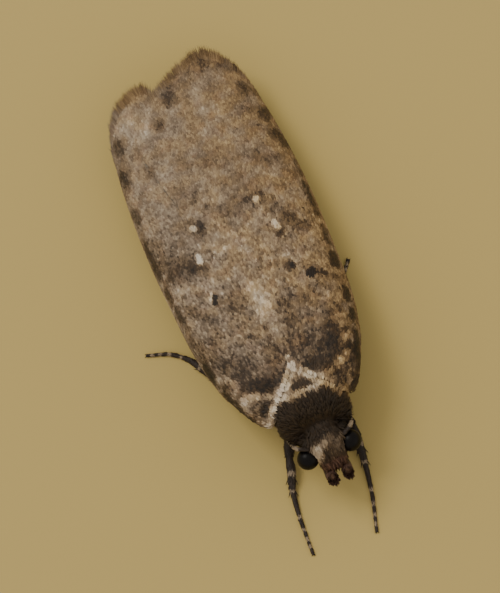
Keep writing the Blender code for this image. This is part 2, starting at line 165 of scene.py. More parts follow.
# Markings, as capsules from one point to another: (x, s, x, s, inner radius, outer radius, strength)
DARK_MARKS = (
    # spots before the rear edge of the left forewing
    (-0.1, 10.62, -0.08, 10.8, 0.02, 0.3, 0.6), (-0.7, 10.1, -0.62, 9.97, 0.02, 0.28, 0.62),
    (1.15, 11.16, 1.17, 11.3, 0.02, 0.28, 0.36), (0.4, 11.2, 1.6, 11.06, 0.02, 0.46, 0.1),
    (1.55, 11.0, 1.75, 10.88, 0.02, 0.32, 0.34), (1.9, 10.22, 2.02, 10.0, 0.02, 0.26, 0.5),
    (2.05, 9.16, 2.24, 9.4, 0.03, 0.26, 0.7), (2.16, 8.62, 2.3, 8.3, 0.04, 0.3, 0.75),
    (2.02, 7.85, 1.62, 7.82, 0.02, 0.26, 0.42), (1.05, 8.26, 1.45, 8.12, 0.02, 0.28, 0.36),
    (1.74, 9.45, 1.8, 10.3, 0.02, 0.28, 0.22), (0.55, 8.7, 0.95, 9.4, 0.02, 0.35, 0.1),
    # front edge of the left forewing
    (2.36, 7.3, 2.38, 7.7, 0.02, 0.16, 0.45), (2.33, 6.0, 2.35, 6.95, 0.03, 0.2, 0.8),
    (2.3, 5.18, 2.32, 5.58, 0.03, 0.2, 0.75), (2.18, 4.5, 2.26, 4.8, 0.05, 0.22, 0.85),
    (2.09, 3.5, 2.17, 3.74, 0.05, 0.18, 0.85), (2.0, 2.96, 2.09, 3.14, 0.04, 0.16, 0.75),
    (1.84, 2.28, 1.92, 2.52, 0.03, 0.14, 0.75), (1.7, 1.95, 1.77, 2.16, 0.04, 0.14, 0.85),
    (1.56, 1.62, 1.65, 1.86, 0.03, 0.14, 0.65), (1.14, 1.08, 1.48, 1.42, 0.02, 0.11, 0.65),
    # spots of the right forewing's rear and front edges
    (-1.86, 9.98, -1.88, 10.2, 0.03, 0.28, 0.68), (-2.08, 9.06, -2.16, 9.32, 0.04, 0.3, 0.72),
    (-1.95, 9.55, -2.05, 9.4, 0.02, 0.25, 0.25), (-2.2, 7.96, -2.26, 8.14, 0.03, 0.26, 0.65),
    (-2.32, 6.25, -2.34, 7.2, 0.03, 0.26, 0.75), (-2.28, 5.5, -2.32, 5.78, 0.03, 0.2, 0.75),
    (-2.2, 4.78, -2.26, 5.1, 0.03, 0.25, 0.65), (-2.22, 4.05, -2.26, 4.25, 0.02, 0.16, 0.45),
    (-2.1, 3.0, -2.2, 3.38, 0.05, 0.19, 0.9), (-1.88, 2.15, -1.98, 2.52, 0.02, 0.13, 0.6),
    (-1.64, 1.55, -1.8, 1.95, 0.02, 0.12, 0.6), (-1.32, 1.12, -1.58, 1.5, 0.03, 0.13, 0.75),
    # clouds behind the middle of both wings
    (-1.78, 6.02, -1.45, 5.85, 0.05, 0.62, 0.52), (-1.32, 5.8, -1.05, 5.62, 0.02, 0.28, 0.5),
    (-1.95, 6.5, -1.4, 6.6, 0.02, 0.35, 0.22), (1.5, 5.96, 1.8, 5.76, 0.04, 0.4, 0.46),
    (1.22, 6.6, 1.45, 6.25, 0.02, 0.32, 0.26), (0.0, 6.92, 0.72, 6.82, 0.02, 0.3, 0.3),
    (-0.6, 6.78, -0.4, 7.05, 0.02, 0.25, 0.2), (1.1, 5.72, 1.12, 5.68, 0.04, 0.14, 0.9),
    (-0.98, 6.9, -0.84, 6.76, 0.05, 0.32, 0.46), (-0.7, 6.55, -0.68, 6.9, 0.02, 0.12, 0.4),
    (0.82, 7.02, 1.08, 7.04, 0.03, 0.22, 0.5), (1.08, 6.92, 1.08, 6.75, 0.02, 0.15, 0.5),
    (-1.4, 9.0, -1.32, 8.62, 0.02, 0.22, 0.32), (-1.05, 9.6, -0.6, 9.62, 0.02, 0.22, 0.12),
    (-0.62, 7.5, -0.4, 7.85, 0.02, 0.16, 0.36), (-0.35, 7.24, -0.33, 7.28, 0.02, 0.13, 0.5),
    (-0.1, 7.03, -0.06, 7.04, 0.02, 0.15, 0.45), (0.66, 5.98, 0.74, 5.97, 0.02, 0.11, 0.5),
    (0.04, 5.85, 0.08, 5.95, 0.02, 0.12, 0.32), (0.25, 5.1, 0.45, 5.35, 0.02, 0.12, 0.22),
    # black dots and dashes before the middle
    (-1.16, 4.66, -1.08, 4.84, 0.04, 0.09, 1.5), (1.42, 4.36, 1.48, 4.4, 0.08, 0.15, 1.5),
    (1.62, 4.34, 1.8, 4.24, 0.02, 0.1, 0.85), (1.04, 4.86, 1.1, 4.7, 0.03, 0.1, 1.0),
    (0.94, 4.58, 0.98, 4.66, 0.02, 0.08, 0.6), (-1.55, 4.45, -1.42, 4.28, 0.03, 0.17, 0.6),
    (-1.85, 4.95, -1.75, 4.6, 0.02, 0.16, 0.4), (-1.7, 3.8, -1.55, 3.7, 0.02, 0.18, 0.4),
    (0.75, 3.95, 1.05, 3.75, 0.02, 0.18, 0.35),
    # shade across the wing bases
    (0.42, 1.98, 0.95, 1.94, 0.06, 0.28, 0.5), (1.14, 2.32, 1.3, 2.18, 0.06, 0.28, 0.48),
    (1.38, 2.78, 1.3, 2.5, 0.05, 0.3, 0.4), (0.4, 2.35, 1.05, 2.55, 0.05, 0.6, 0.26),
    (1.0, 1.3, 1.08, 1.55, 0.03, 0.2, 0.4), (1.62, 2.6, 1.7, 2.66, 0.02, 0.13, 0.5),
    (1.76, 3.24, 1.84, 3.36, 0.02, 0.14, 0.45), (1.36, 3.0, 1.42, 3.24, 0.02, 0.16, 0.32),
    (1.42, 1.76, 1.5, 1.86, 0.02, 0.1, 0.45), (1.54, 2.12, 1.6, 2.3, 0.02, 0.11, 0.4),
    (-0.6, 1.98, -0.86, 1.96, 0.05, 0.28, 0.46), (-0.86, 2.08, -1.22, 2.14, 0.05, 0.3, 0.38),
    (-1.36, 2.44, -1.4, 2.22, 0.04, 0.2, 0.38), (-0.35, 2.2, -1.05, 2.4, 0.05, 0.55, 0.25),
    (-1.55, 3.05, -1.2, 2.75, 0.03, 0.46, 0.22), (-0.9, 1.52, -1.1, 1.48, 0.04, 0.2, 0.6),
)  # fmt: skip
PALE_MARKS = (
    # white dots
    (-0.94, 6.87, -0.89, 6.82, 0.05, 0.12, 1.5), (-1.09, 5.88, -1.07, 6.04, 0.05, 0.1, 1.25),
    (0.9, 6.85, 0.94, 6.9, 0.05, 0.12, 1.45), (1.16, 5.9, 1.11, 6.06, 0.05, 0.11, 1.15),
    (-1.27, 4.72, -1.14, 5.0, 0.01, 0.07, 0.75), (1.16, 4.95, 1.18, 4.8, 0.01, 0.06, 0.5),
    # pale streak along the middle
    (-0.08, 4.6, -0.06, 3.9, 0.05, 0.36, 0.62), (-0.12, 4.1, -0.02, 3.3, 0.03, 0.5, 0.3),
    (-0.02, 3.3, 0.0, 2.9, 0.02, 0.22, 0.22), (-0.25, 6.5, 0.1, 5.5, 0.05, 0.75, 0.12),
    (-0.55, 6.15, -0.45, 5.95, 0.02, 0.22, 0.22), (-0.1, 6.35, 0.1, 6.1, 0.02, 0.25, 0.16),
    (0.65, 5.6, 0.95, 5.1, 0.02, 0.3, 0.16),
    # pale patches at the rear
    (-1.38, 10.3, -1.08, 10.15, 0.1, 0.52, 0.34), (-1.6, 10.65, -1.1, 10.6, 0.05, 0.4, 0.16),
    (0.6, 11.34, 1.45, 11.24, 0.1, 0.5, 0.07), (-1.75, 9.15, -1.7, 9.02, 0.02, 0.26, 0.32),
    (-2.1, 8.6, -2.05, 8.5, 0.02, 0.2, 0.22), (1.08, 9.78, 1.12, 9.55, 0.02, 0.34, 0.18),
    (1.96, 9.85, 2.0, 9.7, 0.02, 0.22, 0.25), (-0.75, 9.55, -0.35, 9.45, 0.02, 0.26, 0.16),
    (-0.4, 8.05, 0.2, 7.95, 0.02, 0.3, 0.18), (-0.1, 7.35, 0.15, 7.3, 0.02, 0.2, 0.14),
    (-1.92, 5.6, -1.86, 5.45, 0.02, 0.14, 0.4), (-1.6, 5.3, -1.0, 5.2, 0.02, 0.2, 0.2),
    # broken pale band across each wing base, turning back along the front edge
    (0.62, 1.7, 1.05, 1.77, 0.03, 0.13, 0.36), (1.1, 1.78, 1.2, 1.84, 0.05, 0.14, 0.6),
    (1.2, 1.86, 1.44, 2.03, 0.03, 0.12, 0.45), (1.44, 2.28, 1.64, 2.48, 0.04, 0.15, 0.38),
    (1.52, 2.45, 1.56, 2.7, 0.02, 0.09, 0.4), (1.64, 2.8, 1.72, 2.98, 0.05, 0.16, 0.4),
    (1.05, 1.2, 1.24, 1.45, 0.02, 0.1, 0.48), (1.6, 3.55, 1.63, 3.85, 0.02, 0.1, 0.35),
    (1.8, 3.38, 1.84, 3.58, 0.03, 0.12, 0.38), (-1.5, 1.98, -1.16, 1.9, 0.05, 0.16, 0.68),
    (-1.14, 1.88, -0.86, 1.74, 0.04, 0.13, 0.46), (-0.84, 1.74, -0.64, 1.72, 0.03, 0.11, 0.32),
    (-1.6, 1.88, -1.5, 1.78, 0.02, 0.1, 0.5), (-1.44, 1.37, -1.28, 1.29, 0.02, 0.09, 0.5),
    (-1.68, 2.68, -1.52, 2.32, 0.03, 0.13, 0.46), (-2.02, 2.9, -1.8, 2.72, 0.04, 0.16, 0.5),
    (-1.78, 2.24, -1.66, 2.18, 0.02, 0.1, 0.42), (-0.62, 2.54, -0.59, 2.5, 0.02, 0.07, 0.6),
    (-0.73, 2.42, -0.7, 2.38, 0.01, 0.08, 0.4),
    # cream lines round the back
    (0.0, 2.48, -0.01, 2.16, 0.02, 0.09, 0.95), (-0.01, 2.18, -0.37, 1.76, 0.07, 0.15, 0.95),
    (-0.37, 1.76, -0.62, 1.52, 0.09, 0.19, 0.9), (-0.62, 1.5, -0.9, 1.38, 0.07, 0.18, 0.76),
    (-0.9, 1.38, -1.14, 1.16, 0.05, 0.14, 0.76), (0.01, 2.18, 0.32, 1.78, 0.06, 0.14, 0.9),
    (0.32, 1.78, 0.54, 1.5, 0.08, 0.19, 0.95), (0.54, 1.48, 0.72, 1.34, 0.05, 0.17, 0.72),
    (0.74, 1.3, 0.96, 1.14, 0.02, 0.16, 0.3), (-0.52, 1.41, 0.46, 1.4, 0.05, 0.12, 0.95),
    (-0.02, 1.96, 0.02, 1.9, 0.02, 0.12, 0.5),
)  # fmt: skip
WARM_MARKS = (
    # ochre along the left forewing's front edge
    (1.62, 3.4, 1.62, 2.8, 0.05, 0.3, 0.7), (1.6, 2.8, 1.3, 1.95, 0.05, 0.26, 0.8),
    (1.25, 1.95, 0.85, 1.7, 0.05, 0.3, 0.65), (2.0, 3.6, 2.1, 5.8, 0.05, 0.35, 0.4),
    (2.1, 7.3, 2.1, 9.0, 0.05, 0.3, 0.3), (0.4, 11.7, 1.5, 11.7, 0.1, 0.8, 0.8),
    (-1.3, 11.4, -0.6, 11.3, 0.1, 0.5, 0.7), (0.6, 1.4, 1.0, 1.1, 0.05, 0.34, 0.6),
)  # fmt: skip
BACK_MARKS = (  # the dark back and crown
    (-0.56, 0.8, 0.44, 0.8, 0.46, 0.54, 1.0), (0.52, 0.66, 0.54, 0.6, 0.4, 0.47, 1.0),
    (-0.16, 0.4, 0.14, 0.48, 0.1, 0.2, 1.0), (-0.14, 1.65, 0.19, 1.66, 0.08, 0.15, 0.95),
)  # fmt: skip
FACE_MARKS = (  # pale tufts of the face; the strongest one, on the moth's right side towards the light, is pale scales with a painted highlight on them
    (-0.32, -0.06, -0.29, 0.03, 0.1, 0.2, 0.86), (-0.26, 0.2, -0.14, 0.24, 0.03, 0.14, 0.12),
    (-0.05, 0.04, -0.03, 0.12, 0.04, 0.12, 0.36), (0.05, 0.18, 0.34, 0.14, 0.1, 0.34, 0.3),
    (0.28, 0.38, 0.42, 0.42, 0.04, 0.15, 0.28), (0.05, -0.18, 0.3, -0.14, 0.05, 0.22, 0.16),
)  # fmt: skip
MARKINGS = {
    "dark": DARK_MARKS, "pale": PALE_MARKS, "warm": WARM_MARKS, "crown": BACK_MARKS, "face": FACE_MARKS,
}  # fmt: skip
MARK_LIMIT = 2.0
CLOUD_SCALE = 1.6  # of the soft patches in the plain parts
WING_GRAIN, FRINGE_GRAIN = 0.22, 0.25  # how much single scales differ in tone
# Darkest and lightest scales of the plain parts
BELLY = (0.22, 0.17, 0.115), (0.5, 0.43, 0.32)
WING_UNDERSIDE = (0.12, 0.092, 0.064), (0.27, 0.215, 0.155)
HINDWING = (0.27, 0.235, 0.19), (0.4, 0.355, 0.295)
PALPS = (0.05, 0.027, 0.021), (0.2, 0.112, 0.082)
PALP_SKIN = (0.03, 0.018, 0.012), (0.09, 0.055, 0.035)
LEG_DARK, LEG_PALE = (0.022, 0.015, 0.011), (0.33, 0.25, 0.165)
LENGTH = 12.2  # of the moth, from its face to its wing tips
WING_TONES = (  # how light the scales are along the body, as (s, tone)
    (1.0, 0.42), (2.6, 0.36), (3.6, 0.46), (4.6, 0.52), (5.6, 0.56), (7.2, 0.53), (10.6, 0.54), (11.6, 0.45),
)  # fmt: skip


# Sizes and colours that a user may change


def length_setting(name, description, default, least):
    """A length in millimetres that a user may change."""
    return FloatProperty(name=name, description=description + ", mm", default=default, min=least)


def colour_setting(name, description, default):
    """A colour that a user may change."""
    return FloatVectorProperty(
        name=name, description=description, subtype="COLOR", size=3, min=0, max=1, default=default
    )


def angle_setting(name, description, degrees):
    """An angle that a user may change."""
    return FloatProperty(
        name=name, description=description, default=math.radians(degrees), subtype="ANGLE"
    )


class MothCoatSettings(bpy.types.PropertyGroup):
    """Sizes of the scales, in millimetres."""

    row: length_setting("Row", "Distance between rows of wing scales", 0.047, 0.03)
    scale_length: length_setting("Scale length", "Length of a wing scale", 0.135, 0.05)
    scale_width: length_setting("Scale width", "Width of a wing scale", 0.064, 0.02)
    hair_length: length_setting("Hair length", "Length of a hair scale on the back", 0.3, 0.1)
    fringe_rows: IntProperty(
        name="Fringe rows", description="Rows of hairs in a wing's fringe", default=9, min=1, max=20
    )


class MothColourSettings(bpy.types.PropertyGroup):
    """Colours that run through the scales."""

    black: colour_setting("Black", "Darkest scales", (0.012, 0.009, 0.007))
    brown: colour_setting("Brown", "Dark scales", (0.07, 0.046, 0.028))
    tan: colour_setting("Tan", "Middle scales", (0.25, 0.185, 0.128))
    sand: colour_setting("Sand", "Light scales", (0.48, 0.385, 0.28))
    cream: colour_setting("Cream", "Palest scales", (0.78, 0.7, 0.59))
    # Warmth tints the ochre marks, and also the painted shade on the moth's left side, away from the light
    warmth: colour_setting("Warmth", "Tint of the warm parts", (1.0, 0.85, 0.57))


class MothStageSettings(bpy.types.PropertyGroup):
    """Floor, lights and camera."""

    floor: colour_setting("Floor", "Colour of the floor", (0.6, 0.455, 0.165))
    distance: FloatProperty(
        name="Distance", description="From the camera to the moth", default=0.085, subtype="DISTANCE"
    )
    elevation: angle_setting("Elevation", "Of the camera above the floor", 72)
    roll: angle_setting("Roll", "Of the camera about its line of sight", 24)
    lens: FloatProperty(
        name="Lens", description="Focal length of the camera, mm", default=196.1, unit="CAMERA"
    )


# Curves and surfaces


def curve(stations, s):
    """The value at s of a smooth curve through the stations, level beyond its ends."""
    knots = np.array(stations, float)
    at, value = knots[:, 0], knots[:, 1]
    slope = np.diff(value) / np.diff(at)
    tangent = np.concatenate(([slope[0]], (slope[:-1] + slope[1:]) / 2, [slope[-1]]))
    s = np.clip(s, at[0], at[-1])
    i = np.clip(np.searchsorted(at, s, side="right") - 1, 0, len(at) - 2)
    step = at[i + 1] - at[i]
    t = (s - at[i]) / step
    return (
        value[i] * (2 * t**3 - 3 * t**2 + 1)
        + value[i + 1] * (3 * t**2 - 2 * t**3)
        + step * (tangent[i] * (t**3 - 2 * t**2 + t) + tangent[i + 1] * (t**3 - t**2))
    )


def ease(low, high, value):
    """From 0 at low to 1 at high, smoothly."""
    t = np.clip((value - low) / (high - low), 0, 1)
    return t * t * (3 - 2 * t)


def unit(vectors):
    """The vectors, each at length 1."""
    return vectors / np.maximum(np.linalg.norm(vectors, axis=-1, keepdims=True), 1e-12)


def bulged(value, power):
    """The value's size raised to a power, with its sign kept."""
    return np.sign(value) * np.abs(value) ** power


def travelled(points):
    """How far along a line each of its points lies."""
    return np.concatenate(([0.0], np.cumsum(np.linalg.norm(np.diff(points, axis=0), axis=1))))


def sampled(at, knots, rows):
    """The rows of values that belong to the knots, read at places between them."""
    return np.stack([np.interp(at, knots, column) for column in rows.T], 1)


def both_sides(seed=0):
    """Side, name and random draws of the left piece, then of the right one."""
    for k, (side, name) in enumerate(((1, "left"), (-1, "right"))):
        yield side, name, np.random.default_rng(seed + k)


def along_line(points, count):
    """A smooth line through the points, in even steps.

    It gives the places and directions at count steps, and how far along the line each point lies.
    """
    points = np.array(points, float)
    steps = travelled(points)
    fine = np.linspace(0, steps[-1], 400)
    path = np.stack([curve(np.stack([steps, column], 1), fine) for column in points.T], 1)
    length = travelled(path[:, :3])
    even = sampled(np.linspace(0, length[-1], count), length, path)
    return even, unit(np.gradient(even[:, :3], axis=0)), np.interp(steps, fine, length)


# Wings


FRINGE = 0.42  # length of the hairs at a wing's tip
FRINGE_FROM = 9.4  # where the fringe starts to take up the outline
VAULT = 2 / 3  # power that rounds the wings' cross-section
UNDERLAP = 0.9  # how far the right forewing reaches on under the left one
BACK_MARGIN = 0.1  # how much wider than the thorax the arch is that lifts the wings' bases
BACK_DEPTH, BACK_BLEND = 0.02, 0.07  # how deep the wings lie in the back, and how softly they rise over it
SPREAD = 0.35  # how unevenly scales are set, as a share of their spacing
OUT_TURN, IN_TURN = math.pi / 2, -1.5  # turns that end a wing's surface, at its rim and beyond the midline


class Wing:
    """One forewing's surface. Its rows run across it, in a mirror-free frame where outwards is +x."""

    def __init__(self, side):
        self.side = side
        self.apex = LEFT_APEX if side > 0 else RIGHT_APEX
        self.start = COSTA[0][0]
        self.tip = self.apex[-1][0]
        self.end = self.tip - FRINGE
        self.lift = 0.05 if side > 0 else 0.0

    def outline_at(self, s):
        """Where the outline is read for a row at s: the fringe fills what is left beyond the wing itself."""
        return s + (self.tip - self.end) * ease(FRINGE_FROM, self.end, s)

    def tuck(self, s):
        """How much closer the right forewing is held than the left one."""
        if self.side > 0:
            return 0.0
        return RIGHT_TUCK * np.clip((s - self.start) / (self.apex[0][0] - self.start), 0, 1)

    def outer(self, s):
        """Half width at the front edge, out to the tips of the fringe."""
        return np.where(s < self.apex[0][0], curve(COSTA, s) - self.tuck(s), curve(self.apex, s))

    def inner(self, s):
        """Where a row starts at the wing's inner edge."""
        lap = curve(LAP_LINE, s)
        base = curve(WING_BASE, s)
        if self.side > 0:
            return np.where(s < WING_BASE[-1][0], base, lap)
        under = -lap - UNDERLAP * ease(2.5, 4.5, s) * (1 - ease(9.5, 10.6, s))
        behind = np.where(s < 10.8, np.minimum(under, 0.66), curve(RIGHT_REAR_EDGE, s))
        return np.where(s < WING_BASE[-1][0], base, behind)

    def point(self, t, s, depth):
        """The point at turn t across the wing, from 0 over the midline to pi/2 at the rim."""
        depth = depth + self.curl(s)
        base = curve(RIM, s) + self.curl(s)
        x = (self.outer_vault(s) - depth) * bulged(np.sin(t), VAULT)
        z = base + (curve(ROOF, s) - depth - base) * np.abs(np.cos(t)) ** VAULT + self.lift
        back = BACK_FLOOR + (curve(BACK_HEIGHT, s) - BACK_FLOOR) * (
            1 - np.clip(np.abs(x) / (curve(SHOULDER, s) + BACK_MARGIN), 0, 1) ** 3
        ) ** (1 / 3)
        # the wing's base rises smoothly over the back
        above = back - BACK_DEPTH - z
        z = z + (above + np.sqrt(above**2 + BACK_BLEND**2)) / 2 * (1 - ease(2.0, 2.6, s))
        return np.stack([x, np.broadcast_to(s, x.shape), z], -1)

    def curl(self, s):
        """How far the wing's front end curls in to the thorax."""
        return 0.17 * (1 - np.sqrt(1 - np.clip((1.34 - s) / 0.27, 0, 1) ** 2))

    def outer_vault(self, s):
        """Half width of the vault that the wing lies on."""
        return curve(COSTA, s) + 0.02 - self.tuck(s)

    def turns(self, s, depth, overhang=0.0):
        """The turns at which a row starts and ends; an overhang starts it beyond the wing's inner edge."""
        read = self.outline_at(s)
        half = self.outer_vault(s) - depth - self.curl(s)
        narrow = 0.1 * ease(FRINGE_FROM, self.end, s)
        edges = self.inner(read) + narrow * 0.6 - overhang, self.outer(read) - narrow
        start, end = (np.arcsin(bulged(np.clip(x / half, -1, 1), 1.5)) for x in edges)
        lifting = ease(8.6, 10.6, s)
        return start, OUT_TURN * (1 - lifting) + end * lifting

    def row(self, s, depth, overhang=0.0):
        """Fine points across the wing at s, with their turns and their lengths along the row."""
        start, end = self.turns(np.array(s, float), depth, overhang)
        t = np.linspace(float(start), float(end), 500)
        points = self.point(t, np.array(s, float), depth)
        return t, points, travelled(points)

    def grid(self, rows, columns, depth):
        """Points of the wing's surface in even rows, in the moth's own frame."""
        made = []
        for s in np.linspace(self.start, self.end, rows):
            _, points, length = self.row(s, depth)
            made.append(sampled(np.linspace(0, length[-1], columns), length, points))
        return np.array(made) * (self.side, 1, 1)

    def roots(self, spacing, depth, rng):
        """Root, normal, lie, place on the unwrapped wing and slope up to its tip of every scale."""
        turns, stations, unwrap = [], [], []
        for k, s in enumerate(np.arange(self.start + 0.01, self.end, spacing)):
            t, _, length = self.row(s, depth, overhang=0.11 - 0.06 * ease(2.3, 2.6, s))
            count = max(int(length[-1] / spacing), 1)
            at = (np.arange(count) + 0.5 * (k % 2) + rng.uniform(-SPREAD, SPREAD, count)) * spacing
            at = np.clip(at, 0, length[-1])
            turns.append(np.interp(at, length, t))
            stations.append(s + rng.uniform(-SPREAD, SPREAD, count) * spacing)
            unwrap.append(np.stack([at / 6, np.full(count, s / 13)], 1))
        t, s = np.concatenate(turns), np.concatenate(stations)
        step = 0.004
        root = self.point(t, s, depth)
        along = unit(self.point(t, s + step, depth) - self.point(t, s - step, depth))
        near = self.point(np.clip(t - step, IN_TURN, OUT_TURN), s, depth)
        far = self.point(np.clip(t + step, IN_TURN, OUT_TURN), s, depth)
        across = unit(far - near)
        normal = unit(np.cross(across, along))
        fan = 0.1 + 0.22 * np.clip(root[:, :1] / 2.4, -0.5, 1)
        lie = unit(along + across * fan)
        reach = 0.13  # about a scale's length
        swept = fan[:, 0] * reach * 2 * step / np.maximum(np.linalg.norm(far - near, axis=1), 1e-4)
        tip = self.point(np.clip(t + swept, IN_TURN, OUT_TURN), s + reach, depth)
        rise = np.clip(np.sum((tip - root) * normal, 1) / reach, 0, 0.9)
        rise *= np.maximum(ease(1.25, 1.42, s), 1 - ease(0.92, 1.04, np.abs(root[:, 0])))
        mirror = np.array([self.side, 1, 1])
        return root * mirror, normal * mirror, lie * mirror, np.concatenate(unwrap), rise


# Meshes


def add_object(name, data):
    """An object in the scene."""
    made = bpy.data.objects.new(name, data)
    bpy.context.scene.collection.objects.link(made)
    return made


def set_down(name, vertices, faces, materials=(), smooth=True):
    """A mesh object from points in the moth's own frame."""
    mesh = bpy.data.meshes.new(name)
    points = np.asarray(vertices, float) * MM + np.array(ORIGIN)
    mesh.from_pydata(points.tolist(), [], faces)
    mesh.update()
    if smooth:
        mesh.shade_smooth()
    for material in materials:
        mesh.materials.append(material)
    return add_object(name, mesh)


def note(mesh, name, values, kind="FLOAT"):
    """Writes one value for each vertex."""
    attribute = mesh.attributes.new(name, kind, "POINT")
    key = "vector" if kind == "FLOAT_VECTOR" else "value"
    attribute.data.foreach_set(key, np.asarray(values, np.float32).ravel())


def shell(grid, thickness):
    """Vertices and faces of a closed sheet whose upper face is a grid of points."""
    rows, columns = grid.shape[:2]
    down = np.gradient(grid, axis=0)
    across = np.gradient(grid, axis=1)
    normal = unit(np.cross(across, down))
    if normal[..., 2].mean() < 0:
        normal = -normal
    lower = grid - normal * thickness
    vertices = np.concatenate([grid.reshape(-1, 3), lower.reshape(-1, 3)])
    index = np.arange(rows * columns).reshape(rows, columns)
    quads = np.stack([index[:-1, :-1], index[:-1, 1:], index[1:, 1:], index[1:, :-1]], -1).reshape(-1, 4)
    size = rows * columns
    faces = quads.tolist() + (quads[:, ::-1] + size).tolist()
    border = np.concatenate([index[0, :-1], index[:-1, -1], index[-1, :0:-1], index[:0:-1, 0]])
    following = np.roll(border, -1)
    faces += np.stack([following, border, border + size, following + size], 1).tolist()
    return vertices, faces


# How far the edges of wide and of narrow marks wander, as shares of their outer radius
WIDE_MARK, WIDE_WANDER, NARROW_WANDER = 0.2, 0.3, 0.16
WANDER_DETAIL = 4.5  # how many times to a millimetre they change their course
SIDE_DROP, SIDE_SPREAD = 0.45, 0.22  # below this depth under the roof, marks lean out with the wing's side


def marked(flat, shift, marks):
    """The sum of some marks' strengths at each place; a mark's edge wanders with its size."""
    total = np.zeros(len(flat))
    for x0, s0, x1, s1, inner, outer, strength in marks:
        start, reach = np.array([x0, s0]), np.array([x1 - x0, s1 - s0])
        places = flat + shift * (WIDE_WANDER * outer if outer > WIDE_MARK else NARROW_WANDER * outer)
        share = np.clip((places - start) @ reach / max(reach @ reach, 1e-9), 0, 1)
        away = np.linalg.norm(places - start - share[:, None] * reach, axis=1)
        total += strength * (1 - ease(inner, outer, away))
    return total


def note_markings(mesh, places, repeat=1):
    """Writes how strongly each marking shows at each vertex, with edges that wander a little."""
    shift = np.array([noise.noise_vector(Vector(place) * WANDER_DETAIL)[:2] for place in places.tolist()])
    x, s, z = places.T
    drop = np.clip(curve(ROOF, s) - SIDE_DROP - z, 0, 2) * ease(1.2, 1.6, s)
    flat = np.stack([x + np.sign(x) * SIDE_SPREAD * drop, s], 1)
    for name, marks in MARKINGS.items():
        value = np.minimum(marked(flat, shift, marks), MARK_LIMIT)
        note(mesh, name, np.repeat(value, repeat))


def outward(mesh):
    """Turns the faces of a closed mesh outwards."""
    bm = bmesh.new()
    bm.from_mesh(mesh)
    bmesh.ops.recalc_face_normals(bm, faces=bm.faces)
    bm.to_mesh(mesh)
    bm.free()


def fringe_unwrap(share):
    """Places of a fringe's hairs on the unwrap, in a strip beyond the wing."""
    return np.stack([share * 0.9 + 0.05, np.full(len(share), 0.97)], 1)


def own_places(mesh):
    """Each vertex's place in the moth's own frame."""
    places = np.zeros(len(mesh.vertices) * 3)
    mesh.vertices.foreach_get("co", places)
    return (places.reshape(-1, 3) - np.array(ORIGIN)) / MM


def unwrapped(u, v):
    """Places on the unwrap, which leaves a margin round its edge; u and v run from 0 to 1."""
    return np.stack([u * 0.9 + 0.05, v * 0.9 + 0.05], 1)


def facing_out(made):
    """Turns the faces of a closed mesh object outwards."""
    outward(made.data)
    return made


# Corners of a scale and of a hair, as shares of length, width and thickness; the last one is the keel's top
SCALE = ((0, 0, 0), (0.42, -0.5, 0), (0.95, -0.34, 0), (0.95, 0.34, 0), (0.42, 0.5, 0), (0.6, 0, 1))
HAIR = ((0, 0, 0), (0.35, -0.5, 0), (1, 0, 0), (0.35, 0.5, 0), (0.45, 0, 1))
PATCH = 0.003  # width of a tuft's patch on the unwrap


def tufts(
    name, root, normal, lie, unwrap, length, width, lift, rng, material, corners=SCALE, swing=0.16,
    droop=0.0, keel=0.01, sink=0.012, markings=False,
):  # fmt: skip
    """One mesh of many scales or hairs, each rooted in the skin and lying along it.

    root, normal and lie are given for every tuft; lift is the slope at which it stands out, droop how far
    its tip bends back to the skin, and swing how unevenly the tufts lie.
    """
    count = len(root)
    lie = unit(lie - normal * np.sum(lie * normal, 1, keepdims=True))
    side = np.cross(normal, lie)
    turn = rng.normal(0, swing, count)[:, None]
    lie = unit(lie + side * turn)
    side = np.cross(normal, lie)
    length = np.broadcast_to(length, count) * rng.uniform(0.8, 1.15, count)
    width = np.broadcast_to(width, count) * rng.uniform(0.8, 1.2, count)
    slope = np.maximum(np.broadcast_to(lift, count) * rng.uniform(0.55, 1.5, count), 0.01)
    shape = np.array(corners, float)  # the same for every tuft, with uneven tips
    along = np.broadcast_to(shape[:, 0], (count, len(shape))).copy()
    along[:, 1:-1] += rng.uniform(-0.07, 0.05, (count, len(shape) - 2))
    across = np.broadcast_to(shape[:, 1], (count, len(shape)))
    rise = shape[:, 2] * keel
    height = along * (slope * length)[:, None] - droop * (along**2) * length[:, None] + rise - sink
    points = (
        root[:, None, :]
        + lie[:, None, :] * (along * length[:, None])[..., None]
        + side[:, None, :] * (across * width[:, None])[..., None]
        + normal[:, None, :] * height[..., None]
    )
    corner_count = len(shape)
    base = np.arange(count) * corner_count
    keel_top = corner_count - 1
    faces = []
    for first in range(keel_top):
        faces += (base[:, None] + np.array([first, (first + 1) % keel_top, keel_top])).tolist()
    faces += (base[:, None] + np.array([0, *range(keel_top - 1, 0, -1)])).tolist()
    made = set_down(name, points.reshape(-1, 3), faces, [material], smooth=False)
    mesh = made.data
    shown = root + lie * (length * 0.6)[:, None]
    note(mesh, "place", np.repeat(shown, corner_count, 0), "FLOAT_VECTOR")
    note(mesh, "luck", np.repeat(rng.uniform(0, 1, count), corner_count))
    note(mesh, "along", along.ravel())
    note(mesh, "across", across.ravel())
    if markings:
        note_markings(mesh, shown, corner_count)
    corner = np.zeros(len(mesh.loops), int)
    mesh.loops.foreach_get("vertex_index", corner)
    patch = np.stack([along.ravel() - 0.5, across.ravel()], 1) * PATCH
    spot = np.repeat(unwrap, corner_count, 0) + patch
    layer = mesh.uv_layers.new(name="OFBake")
    layer.data.foreach_set("uv", spot[corner].astype(np.float32).ravel())
    return made


def settle(made, slot, *nodes):
    """A piece rides on the moth's one body and stands for some solids, which it hides; its slot is not used.
    """
    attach(made, "root")
    if nodes:
        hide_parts(*nodes)
    return made


